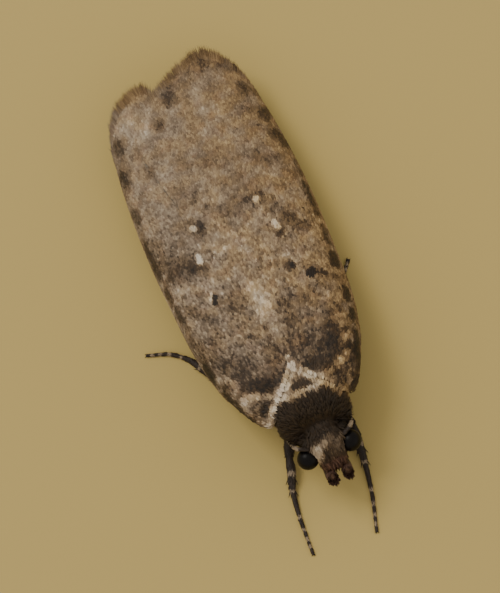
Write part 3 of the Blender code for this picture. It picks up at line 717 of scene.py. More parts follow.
def rounded(sections, inset):
    """Vertices and faces of a closed body of rounded sections, inset by the depth of its coat."""
    rings, around, roundness = 40, 40, 2.3
    table = np.array(sections, float)
    station = np.linspace(table[0, 0] + inset, table[-1, 0] - inset, rings)
    width, low, high = (
        curve(table[:, [0, k]], station) + shift for k, shift in ((1, -inset), (2, inset), (3, -inset))
    )
    angle = math.tau * np.arange(around) / around
    x = np.maximum(width, 0.03)[:, None] * bulged(np.cos(angle), 2 / roundness)
    tall = bulged(np.sin(angle), 2 / roundness)
    z = (high + low)[:, None] / 2 + np.maximum(high - low, 0.06)[:, None] / 2 * tall
    return ring_mesh(np.stack([x, np.broadcast_to(station[:, None], x.shape), z], -1))


def ring_mesh(rings):
    """Vertices and faces of a closed mesh through rings of equally many points."""
    count, around = rings.shape[:2]
    index = np.arange(count * around).reshape(count, around)
    turned = np.roll(index, -1, 1)
    quads = np.stack([index[:-1], turned[:-1], turned[1:], index[1:]], -1).reshape(-1, 4)
    faces = quads.tolist() + [index[0, ::-1].tolist(), index[-1].tolist()]
    return rings.reshape(-1, 3), faces


def back_mesh(inset):
    """Vertices and faces of the upper thorax."""
    side_height, underside = 1.45, 1.25
    station = np.linspace(0.55 + inset, 2.42 - inset, 40)
    t = np.linspace(-math.pi / 2, math.pi / 2, 41)
    half = (curve(SHOULDER, station) + 0.06 - inset)[:, None]
    top = (curve(BACK_HEIGHT, station) - inset)[:, None]
    x = half * bulged(np.sin(t), VAULT)
    z = side_height + (top - side_height) * np.abs(np.cos(t)) ** VAULT
    upper = np.stack([x, np.broadcast_to(station[:, None], x.shape), z], -1)
    lower = np.stack([x[:, ::-1] * 0.7, upper[:, ::-1, 1], np.full_like(z, underside)], -1)
    return ring_mesh(np.concatenate([upper, lower], 1))


def tube_mesh(path, direction, radius, around, steep=False):
    """Vertices and faces of a closed tube along a path that lies nearly level or stands up steeply."""
    if steep:
        side = unit(np.cross(direction, [1.0, 0, 0]))
        over = np.cross(direction, side)
    else:
        side = unit(np.cross(direction, UP) + np.array([1e-9, 0, 0]))
        over = np.cross(side, direction)
    angle = math.tau * np.arange(around) / around
    ring = side[:, None, :] * np.cos(angle)[:, None] + over[:, None, :] * np.sin(angle)[:, None]
    return ring_mesh(path[:, None, :] + ring * radius[:, None, None])


def spokes(ahead, angle):
    """Directions at an angle round each direction of a path, counted from its level side."""
    side = unit(np.cross(ahead, UP))
    return side * np.cos(angle)[:, None] + np.cross(side, ahead) * np.sin(angle)[:, None]


def merged(pieces):
    """Vertices and faces of several meshes together."""
    vertices, faces, count = [], [], 0
    for points, polygons in pieces:
        vertices.append(points)
        faces += [[i + count for i in polygon] for polygon in polygons]
        count += len(points)
    return np.concatenate(vertices), faces


def remeshed(pieces, voxel, passes):
    """One closed skin round several closed meshes, smoothed a little. Works in millimetres."""
    vertices, faces = merged(pieces)
    mesh = bpy.data.meshes.new("lump")
    mesh.from_pydata(vertices.tolist(), [], faces)
    outward(mesh)
    lump = add_object("lump", mesh)
    melt = lump.modifiers.new("melt", "REMESH")
    melt.mode = "VOXEL"
    melt.voxel_size = voxel
    soften = lump.modifiers.new("soften", "SMOOTH")
    soften.factor = 0.5
    soften.iterations = passes
    bpy.context.view_layer.update()
    made = lump.evaluated_get(bpy.context.evaluated_depsgraph_get()).to_mesh()
    points = np.zeros(len(made.vertices) * 3)
    made.vertices.foreach_get("co", points)
    polygons = [list(p.vertices) for p in made.polygons]
    bpy.data.objects.remove(lump)
    bpy.data.meshes.remove(mesh)
    return points.reshape(-1, 3), polygons


# Legs


LEG_RADII = {  # of the skin at the knots of a leg's line, in front, middle and hind legs
    "foreleg": (0.15, 0.14, 0.105, 0.1, 0.07, 0.05, 0.034),
    "midleg_right": (0.16, 0.15, 0.115, 0.095, 0.06, 0.05, 0.034),
    "midleg_left": (0.16, 0.15, 0.115, 0.095, 0.06, 0.036),
    "hindleg": (0.17, 0.17, 0.12, 0.105, 0.062, 0.036),
}
HIP_RISE = 0.36  # how far a leg's line goes on up into the breast
LEG_STEPS = 150
STUB_SHARE, STUB_SWELL = 0.55, 1.02  # share and swelling of an upper leg that melts into the trunk
TARSUS_JOINTS = (0.0, 0.4, 0.6, 0.75, 0.87)  # shares of a tarsus where its pieces meet


class Leg:
    """One leg's centre line, radius and joints."""

    def __init__(self, name):
        line, knee, ankle = LEGS[name]
        kind = name.split("_")[0]
        radii = LEG_RADII.get(name) or LEG_RADII[kind]
        knots = [(x, s, z - SOLE_LEVEL + r, r) for (x, s, z), r in zip(line, radii)]
        x, s, z, r = knots[0]
        knots[0] = (x * 0.9, s, z + HIP_RISE, r)
        self.path, self.direction, at = along_line(knots, LEG_STEPS)
        self.at = np.linspace(0, at[-1], LEG_STEPS)
        self.knee, self.ankle, self.length = at[knee], at[ankle], at[-1]
        self.joints = self.ankle + (self.length - self.ankle) * np.array(TARSUS_JOINTS)
        waist = np.ones(LEG_STEPS)
        for joint, depth, reach in [(self.knee, 0.3, 0.09), *((j, 0.22, 0.05) for j in self.joints)]:
            waist -= depth * np.exp(-(((self.at - joint) / reach) ** 2))
        self.radius = self.path[:, 3] * np.clip(waist, 0.5, 1)
        self.path = self.path[:, :3]
        self.path[:, 2] = np.maximum(self.path[:, 2], self.radius)

    def mesh(self):
        """Vertices and faces of the leg's skin."""
        return tube_mesh(self.path, self.direction, self.radius, around=12)

    def spurs(self):
        """Vertices and faces of the claws and of the spurs on the tibia."""
        made = []
        tip, ahead = self.path[-1], self.direction[-1]
        aside = unit(np.cross(ahead, UP))
        for side in (-1, 1):
            made.append(spike(tip - ahead * 0.02, ahead + aside * side * 0.8, 0.09, 0.012, -0.4))
        for share, reach in ((0.97, 0.24), (0.6, 0.26)):
            at = self.knee + (self.ankle - self.knee) * share
            i = int(np.searchsorted(self.at, at))
            for side in (-1, 1):
                aside = unit(np.cross(self.direction[i], UP))
                start = self.path[i] + aside * side * self.radius[i] * 0.6
                made.append(spike(start, self.direction[i] + aside * side * 0.45, reach, 0.022, 0.0))
        return merged(made)


def spike(start, direction, length, radius, curl):
    """Vertices and faces of a thin pointed rod that bends down by its curl."""
    direction = unit(np.asarray(direction, float))
    t = np.linspace(0, 1, 7)[:, None]
    path = start + direction * (t * length) + UP * curl * length * t**2
    path[:, 2] = np.maximum(path[:, 2], 0.006)
    size = radius * (1 - 0.85 * t[:, 0] ** 2)
    return tube_mesh(path, unit(np.gradient(path, axis=0)), size, around=6)


# Materials


class Sketch:
    """Short ways to add nodes to a tree and join them up."""

    def __init__(self, tree):
        self.tree = tree

    def node(self, kind, **values):
        """A node with some of its properties set."""
        made = self.tree.nodes.new(kind)
        for key, value in values.items():
            setattr(made, key, value)
        return made

    def feed(self, socket, value):
        """Links a socket, or sets it where the value is a plain one."""
        if isinstance(value, bpy.types.NodeSocket):
            self.tree.links.new(value, socket)
        else:
            socket.default_value = value

    def math(self, operation, *values, clamp=False):
        """A Math node's result."""
        made = self.node("ShaderNodeMath", operation=operation, use_clamp=clamp)
        for socket, value in zip(made.inputs, values):
            self.feed(socket, value)
        return made.outputs[0]

    def scaled(self, vector, factors):
        """A vector with each of its parts scaled."""
        made = self.node("ShaderNodeVectorMath", operation="MULTIPLY")
        self.feed(made.inputs[0], vector)
        self.feed(made.inputs[1], factors)
        return made.outputs["Vector"]

    def remap(self, value, low, high, to_low=0.0, to_high=1.0, smooth=True):
        """A value moved from one range to another."""
        made = self.node("ShaderNodeMapRange", interpolation_type="SMOOTHSTEP" if smooth else "LINEAR")
        for socket, number in zip(made.inputs[:5], (value, low, high, to_low, to_high)):
            self.feed(socket, number)
        return made.outputs[0]

    def noise(self, vector, scale, detail=2.0, roughness=0.5):
        """A noise's value."""
        made = self.node("ShaderNodeTexNoise")
        values = {"Vector": vector, "Scale": scale, "Detail": detail, "Roughness": roughness}
        for name, value in values.items():
            self.feed(made.inputs[name], value)
        return made.outputs["Fac"]

    def blend(self, kind, share, one, two, **values):
        """Two colours or two plain values mixed."""
        made = self.node("ShaderNodeMix", **values)
        for name, value in (("Factor_Float", share), ("A_" + kind, one), ("B_" + kind, two)):
            self.feed(next(i for i in made.inputs if i.identifier == name), value)
        return next(o for o in made.outputs if o.identifier == "Result_" + kind)

    def mix(self, share, one, two, blend="MIX"):
        """Two colours mixed."""
        return self.blend("Color", share, one, two, data_type="RGBA", blend_type=blend)

    def between(self, share, one, two):
        """Two plain values mixed."""
        return self.blend("Float", share, one, two, data_type="FLOAT")

    def ramp(self, value, stops):
        """A colour ramp's colour."""
        made = self.node("ShaderNodeValToRGB")
        elements = made.color_ramp.elements
        while len(elements) < len(stops):
            elements.new(0.5)
        for element, (at, colour) in zip(elements, stops):
            element.position = at
            element.color = (*colour, 1.0)
        self.feed(made.inputs[0], value)
        return made.outputs[0]

    def place(self, group, **values):
        """A node group's outputs, with its inputs fed by name."""
        made = self.node("ShaderNodeGroup", node_tree=bpy.data.node_groups[group])
        for name, value in values.items():
            self.feed(made.inputs[name], value)
        return made.outputs

    def attribute(self, name, output="Fac"):
        """A value written on the mesh."""
        return self.node("ShaderNodeAttribute", attribute_name=name).outputs[output]

    def pattern(self, place, luck, grain):
        """The outputs of the upper side's pattern, fed with the markings written on the mesh."""
        marks = {name.title(): self.attribute(name) for name in MARKINGS}
        return self.place("moth_pattern", Place=place, Luck=luck, Grain=grain, **marks)

    def plain(self, place, luck, dark, light, scale):
        """The colour of plain scales."""
        given = {"Place": place, "Luck": luck, "Dark": (*dark, 1.0), "Light": (*light, 1.0), "Scale": scale}
        return self.place("plain_scales", **given)["Color"]

    def add(self, one, two, clamp=False):
        """The sum of two values."""
        return self.math("ADD", one, two, clamp=clamp)

    def times(self, one, two, added=None):
        """Two values multiplied, with a third one added if there is one."""
        if added is None:
            return self.math("MULTIPLY", one, two)
        return self.math("MULTIPLY_ADD", one, two, added)

    def swing(self, value):
        """A value from 0 to 1, moved so that it lies about 0."""
        return self.math("SUBTRACT", value, 0.5)


def new_group(name, inputs, outputs):
    """A shader node group with named inputs and outputs."""
    tree = bpy.data.node_groups.new(name, "ShaderNodeTree")
    for label, kind in inputs:
        tree.interface.new_socket(label, in_out="INPUT", socket_type="NodeSocket" + kind)
    for label, kind in outputs:
        tree.interface.new_socket(label, in_out="OUTPUT", socket_type="NodeSocket" + kind)
    sketch = Sketch(tree)
    return sketch, sketch.node("NodeGroupInput").outputs, sketch.node("NodeGroupOutput").inputs


def group_pattern(colours):
    """The colours of the moth's upper side, over the wings, the back and the head alike."""
    values = ("Luck", "Grain", "Dark", "Pale", "Warm", "Crown", "Face")
    sketch, given, result = new_group(
        "moth_pattern",
        [("Place", "Vector"), *((name, "Float") for name in values)],
        [("Color", "Color"), ("Tone", "Float")],
    )
    place, luck = given["Place"], given["Luck"]
    split = sketch.node("ShaderNodeSeparateXYZ")
    sketch.feed(split.inputs[0], place)
    x, s = split.outputs[0], split.outputs[1]
    base = sketch.ramp(
        sketch.math("DIVIDE", s, LENGTH), [(at / LENGTH, (tone, tone, tone)) for at, tone in WING_TONES]
    )
    clouds = sketch.swing(sketch.noise(place, 1.0, 2.0, 0.55))
    patches = sketch.swing(sketch.noise(place, 3.2, 2.0, 0.6))
    flecks = sketch.swing(sketch.noise(sketch.scaled(place, (1.0, 0.55, 1.0)), 13.0))
    front = sketch.remap(s, 8.5, 5.5)
    mottle = sketch.times(clouds, 0.35)
    mottle = sketch.times(patches, sketch.times(front, 0.15, 0.45), mottle)
    mottle = sketch.times(flecks, sketch.times(front, 0.6, 0.35), mottle)
    calm = sketch.remap(given["Dark"], 0.1, 0.7, 1.0, 0.5)
    tone = sketch.times(mottle, calm, base)
    chance = sketch.times(sketch.swing(luck), given["Grain"])
    tone = sketch.add(tone, chance)
    tone = sketch.times(given["Dark"], -0.42, tone)
    tone = sketch.math("MAXIMUM", tone, 0.03)
    tone = sketch.times(given["Pale"], 0.42, tone)
    # the back and the crown are nearly black, and the face in front of them is pale, with a painted
    # highlight on its side towards the light
    head = sketch.remap(s, 0.62, 0.42)
    face = sketch.times(given["Face"], 0.75, 0.12)
    face = sketch.times(chance, 0.6, face)
    face = sketch.times(flecks, 0.35, face)
    # and reddish brown round the mouth
    mouth = sketch.remap(s, -0.2, -0.32)
    face = sketch.between(mouth, face, sketch.times(luck, 0.16, 0.2))
    tone = sketch.between(head, tone, face)
    deep = sketch.times(luck, 0.12, 0.05)
    tone = sketch.between(sketch.times(given["Crown"], 0.97), tone, deep)
    stops = (colours.black, colours.brown, colours.tan, colours.sand, colours.cream)
    colour = sketch.ramp(tone, [(k / 4, stop) for k, stop in enumerate(stops)])
    hue = sketch.remap(sketch.noise(place, 2.3, 2.0, 0.55), 0.35, 0.65, -0.3, 0.3)
    # painted shade: the tint grows warmer and darker across the body towards the moth's left side, which is
    # turned from the light; the ochre marks added next are the moth's own colour
    warm = sketch.add(sketch.remap(x, -2.4, 2.4, 0.1, 0.84, smooth=False), hue)
    warm = sketch.add(warm, given["Warm"], clamp=True)
    tint = sketch.mix(warm, (1.0, 1.0, 1.0, 1.0), (*colours.warmth, 1.0))
    rosy = sketch.remap(sketch.noise(place, 3.1, 1.0, 0.5), 0.52, 0.66)
    rosy = sketch.times(rosy, sketch.remap(s, 0.6, 1.6, 0.0, 0.45))
    tint = sketch.mix(rosy, tint, (1.0, 0.9, 0.87, 1.0), "MULTIPLY")
    tint = sketch.mix(mouth, tint, (1.0, 0.66, 0.58, 1.0))
    sketch.feed(result["Color"], sketch.mix(1.0, colour, tint, "MULTIPLY"))
    sketch.feed(result["Tone"], tone)


RIDGES = 24.0  # the ridges' wave across a scale's width, in radians


def group_ridges():
    """Fine ridges along a scale, as a height."""
    sketch, given, result = new_group(
        "scale_ridges", [("Across", "Float"), ("Along", "Float"), ("Count", "Float")], [("Height", "Float")]
    )
    wave = sketch.math("SINE", sketch.times(given["Across"], given["Count"]))
    fade = sketch.remap(given["Along"], 0.0, 0.3)
    sketch.feed(result["Height"], sketch.times(wave, fade))


def group_plain_scales():
    """Plain scales in a range from one colour to another, with a few that stand out."""
    sketch, given, result = new_group(
        "plain_scales",
        [("Place", "Vector"), ("Luck", "Float"), ("Dark", "Color"), ("Light", "Color"), ("Scale", "Float")],
        [("Color", "Color")],
    )
    cloud = sketch.noise(given["Place"], given["Scale"])
    cloud = sketch.remap(cloud, 0.3, 0.7, -0.05, 0.55, smooth=False)
    share = sketch.math("MULTIPLY_ADD", given["Luck"], 0.5, cloud, clamp=True)
    sketch.feed(result["Color"], sketch.mix(share, given["Dark"], given["Light"]))


def new_material(name, roughness=0.62, specular=0.35):
    """A material with a Principled shader, and a sketch of its tree."""
    material = bpy.data.materials.new(name)
    material.use_nodes = True
    shader = material.node_tree.nodes["Principled BSDF"]
    shader.inputs["Roughness"].default_value = roughness
    shader.inputs["Specular IOR Level"].default_value = specular
    return material, Sketch(material.node_tree), shader


def pattern_material(name, grain):
    """Scales in the markings of the upper side."""
    material, sketch, shader = new_material(name)
    made = sketch.pattern(sketch.attribute("place", "Vector"), sketch.attribute("luck"), grain)
    sketch.feed(shader.inputs["Base Color"], made["Color"])
    rough = sketch.remap(made["Tone"], 0.0, 1.0, 0.55, 0.72, smooth=False)
    sketch.feed(shader.inputs["Roughness"], rough)
    bump_ridges(sketch, shader)
    return material


def bump_ridges(sketch, shader):
    """Ridges along each scale as bump."""
    across, along = sketch.attribute("across"), sketch.attribute("along")
    height = sketch.place("scale_ridges", Across=across, Along=along, Count=RIDGES)["Height"]
    bump = sketch.node("ShaderNodeBump")
    bump.inputs["Strength"].default_value = 0.35
    bump.inputs["Distance"].default_value = 0.004 * MM
    sketch.feed(bump.inputs["Height"], height)
    sketch.feed(shader.inputs["Normal"], bump.outputs[0])


def plain_material(name, dark, light, scale=3.0, ridges=True):
    """Scales in a range of two colours."""
    material, sketch, shader = new_material(name, 0.6)
    made = sketch.plain(sketch.attribute("place", "Vector"), sketch.attribute("luck"), dark, light, scale)
    sketch.feed(shader.inputs["Base Color"], made)
    if ridges:
        bump_ridges(sketch, shader)
    return material


def skin_material(name, dark, light):
    """The skin in the colours of its coat: the markings above, plain below, dark limbs."""
    material, sketch, shader = new_material(name, 0.6)
    place, luck = sketch.attribute("place", "Vector"), sketch.attribute("luck")
    above = sketch.pattern(place, luck, grain=0.2)["Color"]
    below = sketch.plain(place, luck, dark, light, CLOUD_SCALE)
    limbs = sketch.mix(luck, (*LEG_DARK, 1.0), (0.06, 0.04, 0.03, 1.0))
    trunk = sketch.mix(sketch.attribute("belly"), above, below)
    sketch.feed(shader.inputs["Base Color"], sketch.mix(sketch.attribute("limb"), trunk, limbs))
    return material


def leg_material(name):
    """Dark leg scales with pale rings where the mesh says so."""
    material, sketch, shader = new_material(name, 0.55)
    ring = sketch.attribute("ring")
    luck = sketch.attribute("luck")
    share = sketch.remap(sketch.times(luck, 0.35, ring), 0.45, 0.95)
    lighter = tuple(c * 2.1 for c in LEG_DARK)
    base = sketch.mix(luck, (*LEG_DARK, 1.0), (*lighter, 1.0))
    sketch.feed(shader.inputs["Base Color"], sketch.mix(share, base, (*LEG_PALE, 1.0)))
    return material


SKIN_LUCK = 0.35  # the skin's evenness among its scales, which vary from 0 to 1


def plain_notes(made, markings=False):
    """The values that the scale materials read, for a skin: each vertex's own place, and an even luck."""
    mesh = made.data
    place = own_places(mesh)
    note(mesh, "place", place, "FLOAT_VECTOR")
    note(mesh, "luck", np.full(len(place), SKIN_LUCK))
    if markings:
        note_markings(mesh, place)


def skinned(name, shape, material, markings=False):
    """A closed mesh object from vertices and faces, with the values that its material reads."""
    made = facing_out(set_down(name, *shape, [material]))
    plain_notes(made, markings)
    return made


def get_material(name, make, *args, **more):
    """A material by name, made the first time."""
    name = "moth_" + name
    return bpy.data.materials.get(name) or make(name, *args, **more)


# Operators: one for each piece or group of like pieces


class MOTH_OT_finishes(bpy.types.Operator):
    """Builds the shared node groups"""

    bl_idname = "moth.finishes"
    bl_label = "Finishes"

    def execute(self, context):
        group_pattern(context.scene.moth_colours)
        group_ridges()
        group_plain_scales()
        return {"FINISHED"}


class MOTH_OT_skin(bpy.types.Operator):
    """Builds one skin over the head, thorax, abdomen and legs"""

    bl_idname = "moth.skin"
    bl_label = "Skin"

    def execute(self, context):
        bodies = [
            rounded(HEAD_SECTIONS, BODY_COAT),
            rounded(BREAST_SECTIONS, BODY_COAT),
            rounded(ABDOMEN_SECTIONS, ABDOMEN_COAT),
            back_mesh(BODY_COAT),
        ]
        legs = [Leg(name) for name in LEGS]
        for leg in legs:
            stub = int(np.searchsorted(leg.at, leg.knee * STUB_SHARE))
            path, direction, radius = leg.path[:stub], leg.direction[:stub], leg.radius[:stub]
            bodies.append(tube_mesh(path, direction, radius * STUB_SWELL, around=16))
        trunk = remeshed(bodies, voxel=0.036, passes=5)
        vertices, faces = merged([trunk, *(leg.mesh() for leg in legs), *(leg.spurs() for leg in legs)])
        material = get_material("skin_scales", skin_material, *BELLY)
        skin = skinned("body_skin", (vertices, faces), material, markings=True)
        legs_from = len(trunk[0])
        belly = (1 - ease(1.3, 1.55, vertices[:, 2])) * ease(0.45, 0.65, vertices[:, 1])
        limb = (np.arange(len(vertices)) >= legs_from) * 1.0
        for leg in legs:
            thigh = leg.path[leg.at < leg.knee]
            reach = np.linalg.norm(vertices[:legs_from, None] - thigh[None], axis=2).min(1)
            limb[:legs_from] = np.maximum(limb[:legs_from], reach < LIMB_REACH)
        note(skin.data, "belly", belly)
        note(skin.data, "limb", limb)
        skin["trunk_faces"] = len(trunk[1])
        nodes = [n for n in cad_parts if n.split("_")[0] in ("foreleg", "midleg", "hindleg")]
        settle(
            skin, "breast_scales", "head", "thorax_back", "thorax_underside", "tegula_left",
            "tegula_right", "abdomen", *nodes,
        )  # fmt: skip
        return {"FINISHED"}


def skin_faces():
    """Centre and normal of the trunk's faces, in the moth's own frame."""
    skin = bpy.data.objects["body_skin"]
    read = []
    for key in ("center", "normal"):
        values = np.zeros(len(skin.data.polygons) * 3)
        skin.data.polygons.foreach_get(key, values)
        read.append(values.reshape(-1, 3)[: skin["trunk_faces"]])
    return (read[0] - np.array(ORIGIN)) / MM, read[1]


def thinned(centre, normal, keep, spacing, rng):
    """Roots about one spacing apart among the skin's faces, with their normals and unwrap."""
    spot, facing = centre[keep], normal[keep]
    spot = spot + rng.normal(0, 0.01, spot.shape)
    order = rng.permutation(len(spot))
    cell = np.floor(spot[order] / spacing).astype(int)
    _, first = np.unique(cell, axis=0, return_index=True)
    chosen = order[np.sort(first)]
    spot, facing = spot[chosen], facing[chosen]
    around = np.arctan2(spot[:, 0], spot[:, 2] - 1.3) / math.tau + 0.5
    return spot, facing, unwrapped(around, (spot[:, 1] + 0.6) / 10.5)


class MOTH_OT_wings(bpy.types.Operator):
    """Builds the four wing membranes"""

    bl_idname = "moth.wings"
    bl_label = "Wing membranes"

    def execute(self, context):
        material = get_material("membrane", skin_material, *WING_UNDERSIDE)
        for side, name, _ in both_sides():
            shape = shell(Wing(side).grid(120, 100, WING_COAT), MEMBRANE)
            skin = skinned("forewing_membrane_" + name, shape, material, markings=True)
            note(skin.data, "belly", np.repeat([0.0, 1.0], len(shape[0]) // 2))
            settle(skin, name + "_wing_scales", "forewing_" + name)
        material = get_material("hindwing", plain_material, *HINDWING, ridges=False)
        for side, name, _ in both_sides():
            shape = shell(hindwing_grid(side), HINDWING_MEMBRANE)
            skin = skinned("hindwing_membrane_" + name, shape, material)
            settle(skin, "hindwing_scales", "hindwing_" + name)
        return {"FINISHED"}


def hindwing_grid(side):
    """Points of a hindwing, pleated a little, the left one over the right one at the midline."""
    s = np.linspace(HINDWING_OUTER[0][0], HINDWING_OUTER[-1][0] - 0.25, 50)[:, None]
    share = np.linspace(0, 1, 24)[None, :]
    x = -0.25 + (curve(HINDWING_OUTER, s) + 0.21) * share
    half = curve(COSTA, s) - 0.56
    roof = curve(ROOF, s) - 0.58
    base = curve(RIM, s)
    z = base + (roof - base) * (1 - np.clip(np.abs(x) / half, 0, 1) ** 3) ** (1 / 3)
    z = z - 0.07 + 0.02 * side + 0.025 * np.sin(share * 18) * ease(0, 0.3, share)
    return np.stack([x * side, np.broadcast_to(s, x.shape), z], -1)


class MOTH_OT_wing_scales(bpy.types.Operator):
    """Covers the forewings with rows of overlapping scales"""

    bl_idname = "moth.wing_scales"
    bl_label = "Wing scales"

    def execute(self, context):
        coat = context.scene.moth_coat
        material = get_material("wing_scales", pattern_material, WING_GRAIN)
        for side, name, rng in both_sides(11):
            root, normal, lie, unwrap, rise = Wing(side).roots(coat.row, WING_COAT, rng)
            # the right wing is bare where the left one covers it
            seen = (root[:, 0] < curve(LAP_LINE, root[:, 1]) + 0.12) | (side > 0)
            made = tufts(
                "forewing_scales_" + name, root[seen], normal[seen], lie[seen], unwrap[seen],
                coat.scale_length, coat.scale_width, 0.13 + 1.3 * rise[seen], rng, material, markings=True,
            )  # fmt: skip
            settle(made, name + "_wing_scales")
        return {"FINISHED"}


class MOTH_OT_wing_underside(bpy.types.Operator):
    """Covers the undersides of the forewings with plain scales"""

    bl_idname = "moth.wing_underside"
    bl_label = "Wing undersides"

    def execute(self, context):
        material = get_material("underside", plain_material, *WING_UNDERSIDE, CLOUD_SCALE)
        for side, name, rng in both_sides(15):
            wing = Wing(side)
            root, normal, lie, unwrap, _ = wing.roots(0.075, WING_COAT + MEMBRANE, rng)
            across, s = root[:, 0] * side, root[:, 1]
            read = wing.outline_at(s)
            behind = s > FRINGE_FROM
            seen = (np.abs(across) > 0.75 + 0.5 * (s < 1.9)) | behind
            seen &= s < wing.end - 0.14
            seen &= ~behind | ((across < wing.outer(read) - 0.26) & (across > wing.inner(read) + 0.2))
            made = tufts(
                "forewing_underscales_" + name, root[seen], -normal[seen], lie[seen], unwrap[seen],
                0.18, 0.095, 0.08, rng, material, sink=0.006,
            )  # fmt: skip
            settle(made, name + "_wing_scales")
        return {"FINISHED"}


class MOTH_OT_fringes(bpy.types.Operator):
    """Sets hairs along the rear edge of each forewing"""

    bl_idname = "moth.fringes"
    bl_label = "Fringes"

    def execute(self, context):
        material = get_material("fringe_hairs", pattern_material, FRINGE_GRAIN)
        rows = context.scene.moth_coat.fringe_rows
        tip_steps, hair_spacing = 60, 0.016
        for side, name, rng in both_sides(21):
            wing = Wing(side)
            stations = np.linspace(FRINGE_FROM, wing.end, 160)
            start, end = wing.turns(stations, WING_COAT)
            last = np.linspace(float(start[-1]), float(end[-1]), tip_steps)[1:-1]
            turn = np.concatenate([end, last[::-1], start[::-1]])
            s = np.concatenate([stations, np.full(len(last), wing.end), stations[::-1]])
            edge = wing.point(turn, s, WING_COAT)
            read = wing.outline_at(stations)
            outer, inner = wing.outer(read), wing.inner(read)
            last = np.linspace(outer[-1], inner[-1], tip_steps)[1:-1]
            crest = 0.08 * np.linspace(-1, 1, tip_steps)[1:-1] ** 2
            tips_x = np.concatenate([outer, last, inner[::-1]])
            tips_s = np.concatenate([read, wing.tip + 0.02 - crest, read[::-1]])
            tips = np.stack([tips_x, tips_s], 1)
            step = travelled(edge)
            count = int(step[-1] / hair_spacing)
            hairs = []
            for row in range(rows):
                at = np.sort(rng.uniform(0, step[-1], count))
                root = sampled(at, step, edge)
                reach = sampled(at, step, tips) - root[:, :2]
                length = np.linalg.norm(reach, axis=1)
                out = reach / np.maximum(length, 0.02)[:, None]
                lean = np.stack([out[:, 0], out[:, 1] + 0.35, np.full(count, -0.02)], 1)
                inset = (row / rows) * 0.16
                root = root - np.stack([out[:, 0], out[:, 1], np.zeros(count)], 1) * inset
                root[:, 2] += 0.012 * (row / rows) - 0.01
                keep = length > 0.06
                share = 0.62 + 0.4 * rng.uniform(0, 1, keep.sum()) ** 0.6
                unwrap = fringe_unwrap(at[keep] / step[-1])
                hairs.append((root[keep], unit(lean[keep]), (length[keep] + inset) * share, unwrap))
            root, lie, length, unwrap = (np.concatenate(rows_of_one) for rows_of_one in zip(*hairs))
            mirror = np.array([side, 1, 1])
            made = tufts(
                "forewing_fringe_" + name, root * mirror, np.tile(UP, (len(root), 1)), lie * mirror,
                unwrap, length, 0.018, 0.015, rng, material,
                HAIR, swing=0.1, keel=0.008, droop=0.03, markings=True,
            )  # fmt: skip
            settle(made, name + "_wing_scales")
        return {"FINISHED"}


class MOTH_OT_hindwing_scales(bpy.types.Operator):
    """Covers the undersides of the hindwings with plain scales"""

    bl_idname = "moth.hindwing_scales"
    bl_label = "Hindwing scales"

    def execute(self, context):
        material = get_material("hindwing_scales", plain_material, *HINDWING, CLOUD_SCALE)
        count = 5200
        for side, name, rng in both_sides(27):
            grid = hindwing_grid(side) - UP * HINDWING_MEMBRANE
            rows, columns = grid.shape[:2]
            cells = [
                rng.permutation(np.repeat(np.arange(n - 1), math.ceil(count / (n - 1))))[:count]
                for n in (rows, columns)
            ]
            down, across = (cell + rng.uniform(0, 1, count) for cell in cells)
            i, j = down.astype(int), across.astype(int)
            u, v = (down - i)[:, None], (across - j)[:, None]
            front = grid[i, j] * (1 - v) + grid[i, j + 1] * v
            behind = grid[i + 1, j] * (1 - v) + grid[i + 1, j + 1] * v
            lie = unit(behind - front)
            normal = unit(np.cross(grid[i, j + 1] - grid[i, j], behind - front))
            normal *= -np.sign(normal[:, 2:])
            made = tufts(
                "hindwing_scales_" + name, front * (1 - u) + behind * u, normal, lie,
                unwrapped(across / columns, down / rows), 0.17, 0.08, 0.05, rng, material, sink=0.004,
            )  # fmt: skip
            settle(made, "hindwing_scales")
        return {"FINISHED"}


class MOTH_OT_hindwing_fringes(bpy.types.Operator):
    """Sets hairs along the rear edge of each hindwing"""

    bl_idname = "moth.hindwing_fringes"
    bl_label = "Hindwing fringes"

    def execute(self, context):
        material = get_material("hindwing_hairs", plain_material, *HINDWING, ridges=False)
        hair_spacing = 0.006
        for side, name, rng in both_sides(25):
            grid = hindwing_grid(side)
            edge = np.concatenate([grid[30:, -1], grid[-1, -2::-1]])
            step = travelled(edge)
            count = int(step[-1] / hair_spacing)
            at = rng.uniform(0, step[-1], count)
            root = sampled(at, step, edge)
            out = np.stack([root[:, 0] * 0.5, np.ones(count), np.full(count, -0.12)], 1)
            root = root - unit(out) * rng.uniform(0, 0.12, count)[:, None]
            made = tufts(
                "hindwing_fringe_" + name, root, np.tile(UP, (count, 1)), unit(out),
                fringe_unwrap(at / step[-1]),
                0.34 + 0.08 * rng.uniform(0, 1, count), 0.018, 0.01, rng, material,
                HAIR, swing=0.08, keel=0.008,
            )  # fmt: skip
            settle(made, "hindwing_scales")
        return {"FINISHED"}


